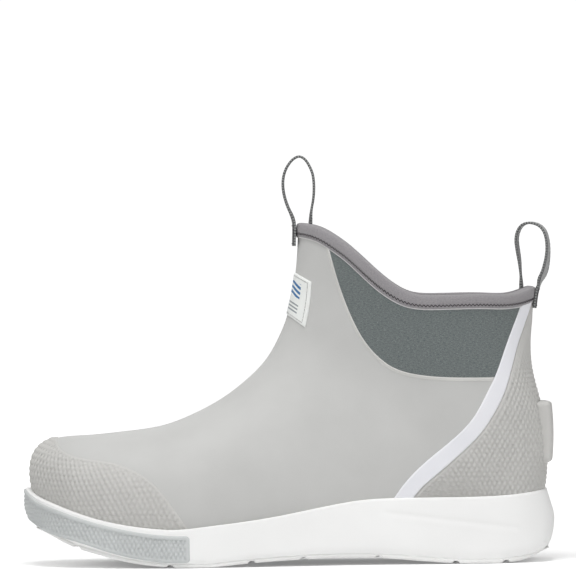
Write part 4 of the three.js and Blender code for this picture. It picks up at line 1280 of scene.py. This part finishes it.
def stage():
    """Pale floor with a painted glow, seen only from the camera, that rises to white further off; a white
    room and three soft lights.
    """
    bpy.ops.mesh.primitive_plane_add(size=30)
    floor = bpy.context.object
    floor.name = "floor"
    look = Look("floor_paint_and_glow", 0.9, Specular_IOR_Level=0.1)
    grain = look.noise(look.at(), 60.0)
    look.colour(look.blend(grain, linear(250, 250, 250), linear(248, 248, 248)))
    look.shader.inputs["Emission Color"].default_value = (1, 1, 1, 1)
    x, y, _ = look.split(look.at())
    away = look.math("SQRT", look.math("MULTIPLY_ADD", x, x, look.math("MULTIPLY", y, y)))
    # Painted glow on the floor, seen only by the camera: weak near the boot, where the lamps light it and
    # its shadow falls, and stronger further off, so the floor shows as evenly lit white.
    glow = look.math("MULTIPLY", seen_only(look.tree, 0.0, 1.0), look.range(away, 0.25, 1.2, 0.22, 0.62))
    look.join(glow, look.shader.inputs["Emission Strength"])
    floor.data.materials.append(look.material)
    world = bpy.data.worlds.new("white_room")
    bpy.context.scene.world = world
    world.use_nodes = True
    sky = world.node_tree.nodes["Background"]
    sky.inputs["Color"].default_value = (1, 1, 1, 1)
    world.node_tree.links.new(seen_only(world.node_tree, 0.475, 1.05), sky.inputs["Strength"])
    for name, spot, size, power in (
        ("over", (0.1, 0.45, 1.4), 0.7, 11.5),
        ("front", (-0.7, 1.6, 0.6), 1.4, 1.8),
        ("back", (0.4, -1.6, 0.9), 1.2, 3.0),
    ):
        lamp = bpy.data.lights.new(name, "AREA")
        lamp.size, lamp.energy = size, power
        light = bpy.data.objects.new(name, lamp)
        light.location = spot
        light.rotation_euler = (Vector((0, 0, 0.08)) - Vector(spot)).to_track_quat("-Z", "Y").to_euler()
        bpy.context.scene.collection.objects.link(light)
    bpy.context.scene.view_settings.view_transform = "Standard"


def camera():
    """Level side view from the outer side, on a long lens."""
    width, distance, rise = 0.3226, 4.0, math.radians(1.0)
    lens = bpy.data.cameras.new("camera")
    lens.sensor_width = 36
    lens.lens = 36 * distance / width
    eye = bpy.data.objects.new("camera", lens)
    target = Vector((0, 0, 0.1537))
    roll = math.radians(-0.65)
    eye.location = target + Vector((0, math.cos(rise), math.sin(rise))) * distance
    eye.rotation_euler = (target - eye.location).to_track_quat("-Z", "Y").to_euler()
    eye.rotation_euler.rotate_axis("Z", roll)
    bpy.context.scene.collection.objects.link(eye)
    bpy.context.scene.camera = eye


upper = layered_shell("rubber_upper", PALE_RUBBER, 0.0, -SHELL, 1.2, 0.04, 240, 120)
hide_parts("upper_shell")
lining = layered_shell("knitted_lining", LINING_CLOTH, LINING_OUT, LINING_IN, 1.4, 0.3, 120, 70, uv=True)
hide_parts("lining")
toe_cap()
heel_cap()
kick_tab()
for word, side in (("left", 1), ("right", -1)):
    stripe(f"stripe_{word}", f"side_stripe_{word}", side)
    gore(f"gore_cloth_{word}", f"gore_{word}", side)
    gore_rim(f"gore_rim_{word}", side)
binding()
piping()
zigzag()
label()
FRONT_NODES = ("front_loop_outer_tab", "front_loop_inner_tab", "front_pull_loop")
REAR_NODES = ("rear_loop_outer_tab", "rear_loop_inner_tab", "rear_pull_loop")
pull_loop("front_webbing", FRONT_LOOP, FRONT_NODES, -1.2, 0.05, 191.0)
pull_loop("rear_webbing", REAR_LOOP, REAR_NODES, 1.2, 0.3, 153.9)
tab_stitches("front_tab_stitches", [(-3.1, 177), (-3.25, 190)], 178.5, 188.5, -1.2, 1)
tab_stitches("rear_tab_stitches", REAR_LOOP[:3], 142.3, 151.5, 1.2, -1)
midsole()
bumper()
outsole()
foam = footbed_layer("foam_footbed", "footbed", FOOTBED_FOAM, -3.4, -0.1)
footbed_layer("knitted_footbed_cover", "footbed_cover", COVER_CLOTH, 0.0, 0.9)
dress_hidden_nodes()
stage()
camera()
